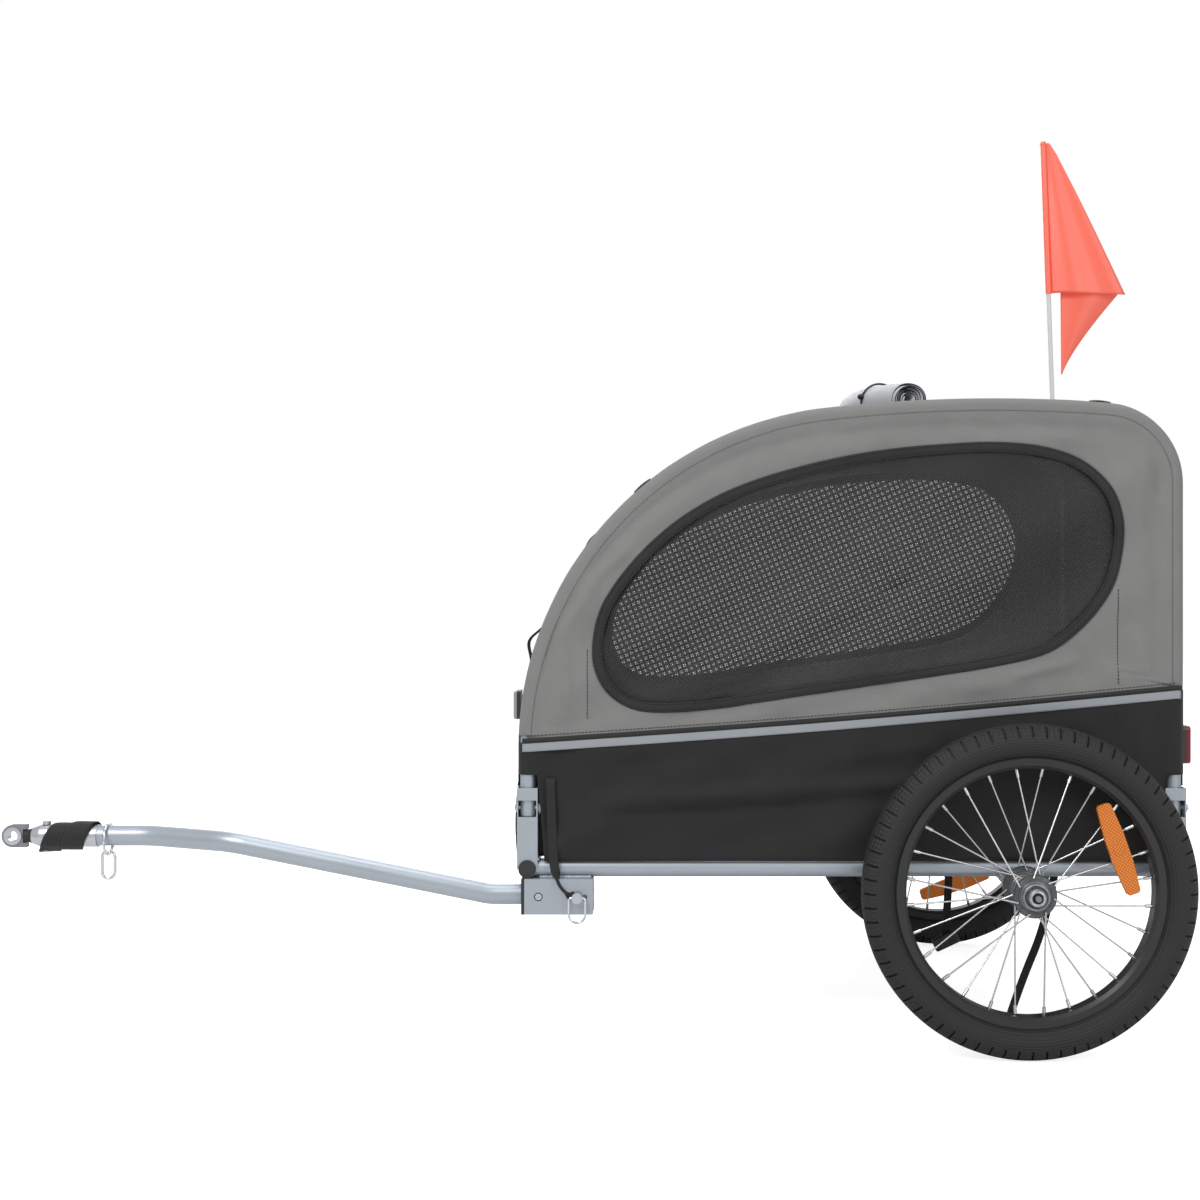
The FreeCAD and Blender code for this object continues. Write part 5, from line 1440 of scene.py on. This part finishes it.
# %% [markdown]
# ## Flag
# The pennant hangs in still air: its upper part stands out from the pole, then the
# cloth turns over at a fold and its tip hangs down behind.

# %% Flag cloth
POLE_Y = sum(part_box("flag_pole")[side][1] for side in (0, 1)) / 2
POLE_FOOT_X, POLE_FOOT_Z, POLE_LEAN = -0.194, 0.240, math.tan(math.radians(2.04))
FLAG_TOP, FLAG_FOLD, FLAG_TIP = 1.2475, 1.015, 0.893
FLAG_HEAD, FLAG_SPREAD, HOIST_GAP = 0.016, 0.096, 0.0045
TIP_GAP, TIP_WIDE, TIP_END = 0.020, 0.0915, 0.002


def pole_x(z):
    return POLE_FOOT_X + (z - POLE_FOOT_Z) * POLE_LEAN


def pennant(u, v):
    """u runs from the top to the fold, v from the hoist to the fly."""
    z = FLAG_TOP + (FLAG_FOLD - FLAG_TOP) * u
    width = FLAG_HEAD + FLAG_SPREAD * u ** 1.05
    x = pole_x(z) - HOIST_GAP - width * v
    drop = 0.004 * v * u
    bow = 0.014 * math.sin(math.pi * v) * u + 0.009 * math.sin(2.4 * math.pi * v + 0.5) * u * v
    top_cut = 0.024 * max(0.0, v - 0.3) * (1 - u) ** 3
    return Vector((x + AXLE_X, POLE_Y + bow, z - drop - top_cut)), (width * v, z)


def turned_tip(u, v):
    """The turned-over tip, hanging from the fold; u runs down, v from the pole side out."""
    z = FLAG_FOLD + 0.007 + (FLAG_TIP - FLAG_FOLD - 0.010) * u
    near = pole_x(FLAG_FOLD) - TIP_GAP - 0.001 * u
    far = near - (TIP_WIDE * (1 - u) ** 1.25 + TIP_END)
    x = near + (far - near) * v
    bow = 0.010 * math.sin(math.pi * v) * (1 - u) - 0.006
    return Vector((x + AXLE_X, POLE_Y + bow, z - 0.003 * v * (1 - u))), (x, z)


flag_upper = cloth("flag_pennant", 60, 30, pennant, [FLAG_CLOTH], 0.0006)
flag_tip = cloth("flag_tip", 40, 26, turned_tip, [FLAG_CLOTH], 0.0006)
print("flag cloth laid")

# %% Hoist sleeve on the pole
HOIST_R, CAP_R = 0.0046, 0.0052


def flag_sleeve():
    tube = bmesh.new()
    ring = bmesh.ops.create_circle(tube, segments=20, radius=HOIST_R)["verts"]
    bmesh.ops.translate(tube, verts=ring, vec=(0, 0, FLAG_FOLD - 0.001))
    grown = bmesh.ops.extrude_edge_only(tube, edges=tube.edges[:])["geom"]
    top = [part for part in grown if isinstance(part, bmesh.types.BMVert)]
    bmesh.ops.translate(tube, verts=top, vec=(0, 0, FLAG_TOP - FLAG_FOLD))
    upright = [edge for edge in tube.edges if abs(edge.verts[0].co.z - edge.verts[1].co.z) > 0.1]
    bmesh.ops.subdivide_edges(tube, edges=upright, cuts=12)
    cap = bmesh.ops.create_uvsphere(tube, u_segments=16, v_segments=8, radius=CAP_R)["verts"]
    bmesh.ops.translate(tube, verts=cap, vec=(0, 0, FLAG_TOP - 0.002))
    for vert in tube.verts:
        vert.co.x += pole_x(vert.co.z) + AXLE_X
        vert.co.y += POLE_Y
    bmesh.ops.recalc_face_normals(tube, faces=tube.faces)
    layer = tube.loops.layers.uv.new("cloth")
    for face in tube.faces:
        for loop in face.loops:
            loop[layer].uv = (loop.vert.co.x, loop.vert.co.z)
    return finished("flag_sleeve", tube, FLAG_CLOTH)


flag_hoist = flag_sleeve()
fit(flag_upper, "flag_pole", "flag")
for piece in (flag_tip, flag_hoist):
    fit(piece, "flag_pole")
print("flag made")


# %% [markdown]
# ## Stitching
# Sewn seams show as rows of short thread bars. Each stitch is a small bar that lies along
# its seam and half sinks into the cloth.

# %% Stitch helper
STITCH_STEP, STITCH_LONG, STITCH_THICK = 0.0045, 0.003, 0.0008
stitches = []


def stitch_row(name, path, body, finish=THREAD):
    """Short bars along a list of places, each pointing to the next place."""
    row = bmesh.new()
    row.loops.layers.uv.new("cloth")
    bar = Matrix.Diagonal((STITCH_LONG, STITCH_THICK, STITCH_THICK, 1.0))
    left = 0.0
    for here, there in zip(path, path[1:]):
        gap = there - here
        along = gap.normalized()
        turn = along.to_track_quat("X", "Z").to_matrix().to_4x4()
        while left < gap.length:
            bmesh.ops.create_cube(row, size=1.0, matrix=Matrix.Translation(here + along * left) @ turn @ bar)
            left += STITCH_STEP
        left -= gap.length
    stitches.append(fit(finished(name, row, finish), body))


# %% Stitch rows of the sides
ON_TAPE, ON_CLOTH = 0.0028, 0.0008
WINDOW_ROWS = (("_inner_stitches", 0.0), ("_outer_stitches", -0.0095))
# upright seams: name, place along the side, lower and upper end
SEAMS = (("_rear_seam", -0.117, 0.446, 0.560), ("_rear_low_seam", -0.117, 0.370, 0.416),
         ("_front_seam", 0.527, 0.404, 0.486))
ABOVE_SEAM, INSIDE_HOOP, ROW_INSET = 0.0085, 0.004, 0.01

for side, sign in SIDES:
    body = side + "_hoop"
    for name, reach in WINDOW_ROWS:
        path = []
        for index in (*range(len(window_edge)), 0):
            spot = window_edge[index] + ring_out(window_edge, index) * (reach - 0.0005)
            path.append(side_spot(spot.x, spot.y, sign, ON_TAPE))
        stitch_row(side + name, path, body)
    for name, x, low, high in SEAMS:
        path = [side_spot(x, low + (high - low) * step / 40, sign, ON_CLOTH) for step in range(41)]
        stitch_row(side + name, path, body)
    path = []
    for step in range(121):
        x = FRONT + (REAR - FRONT) * step / 120
        path.append(side_spot(x, stripe_z(x) + ABOVE_SEAM, sign, ON_CLOTH))
    stitch_row(side + "_stripe_stitches", path, body)
    path = []
    row_run = rear_seam_run - front_seam_run - 2 * ROW_INSET
    for step in range(241):
        x, z = hoop_at(front_seam_run + ROW_INSET + row_run * step / 240, -INSIDE_HOOP)[:2]
        path.append(side_spot(x, z, sign, ON_CLOTH))
    stitch_row(side + "_hoop_stitches", path, body, GREY_THREAD)
print("stitch rows", len(stitches))


# %% [markdown]
# ## Weld beads
# The receiver is welded under the rail and the posts onto it. A bead is a row of small
# overlapping drops.

# %% Beads
RECEIVER_BEAD, POST_BEAD = 0.0022, 0.0018
POST_FACES = (("_front_post_weld", 0.5868), ("_rear_post_weld", -0.1738))
POST_OUTER, POST_INNER, POST_WELD_Z = 0.2745, 0.262, 0.2315


def weld_bead(name, begin, end, radius):
    bead = bmesh.new()
    gap = end - begin
    count = max(2, int(gap.length / (radius * 0.9)))
    for index in range(count + 1):
        spot = begin + gap * (index / count)
        size = radius * (1 + 0.18 * noise.noise(spot * 400))
        drop = bmesh.ops.create_icosphere(bead, subdivisions=2, radius=size)["verts"]
        bmesh.ops.translate(bead, verts=drop, vec=spot)
    fit(finished(name, bead, SILVER), "chassis")


weld_bead("receiver_weld", at(0.524, 0.2735, 0.2098), at(0.584, 0.2735, 0.2098), RECEIVER_BEAD)
for side, sign in SIDES:
    for name, x in POST_FACES:
        weld_bead(side + name, at(x, sign * POST_OUTER, POST_WELD_Z), at(x, sign * POST_INNER, POST_WELD_Z),
                  POST_BEAD)
print("weld beads made")
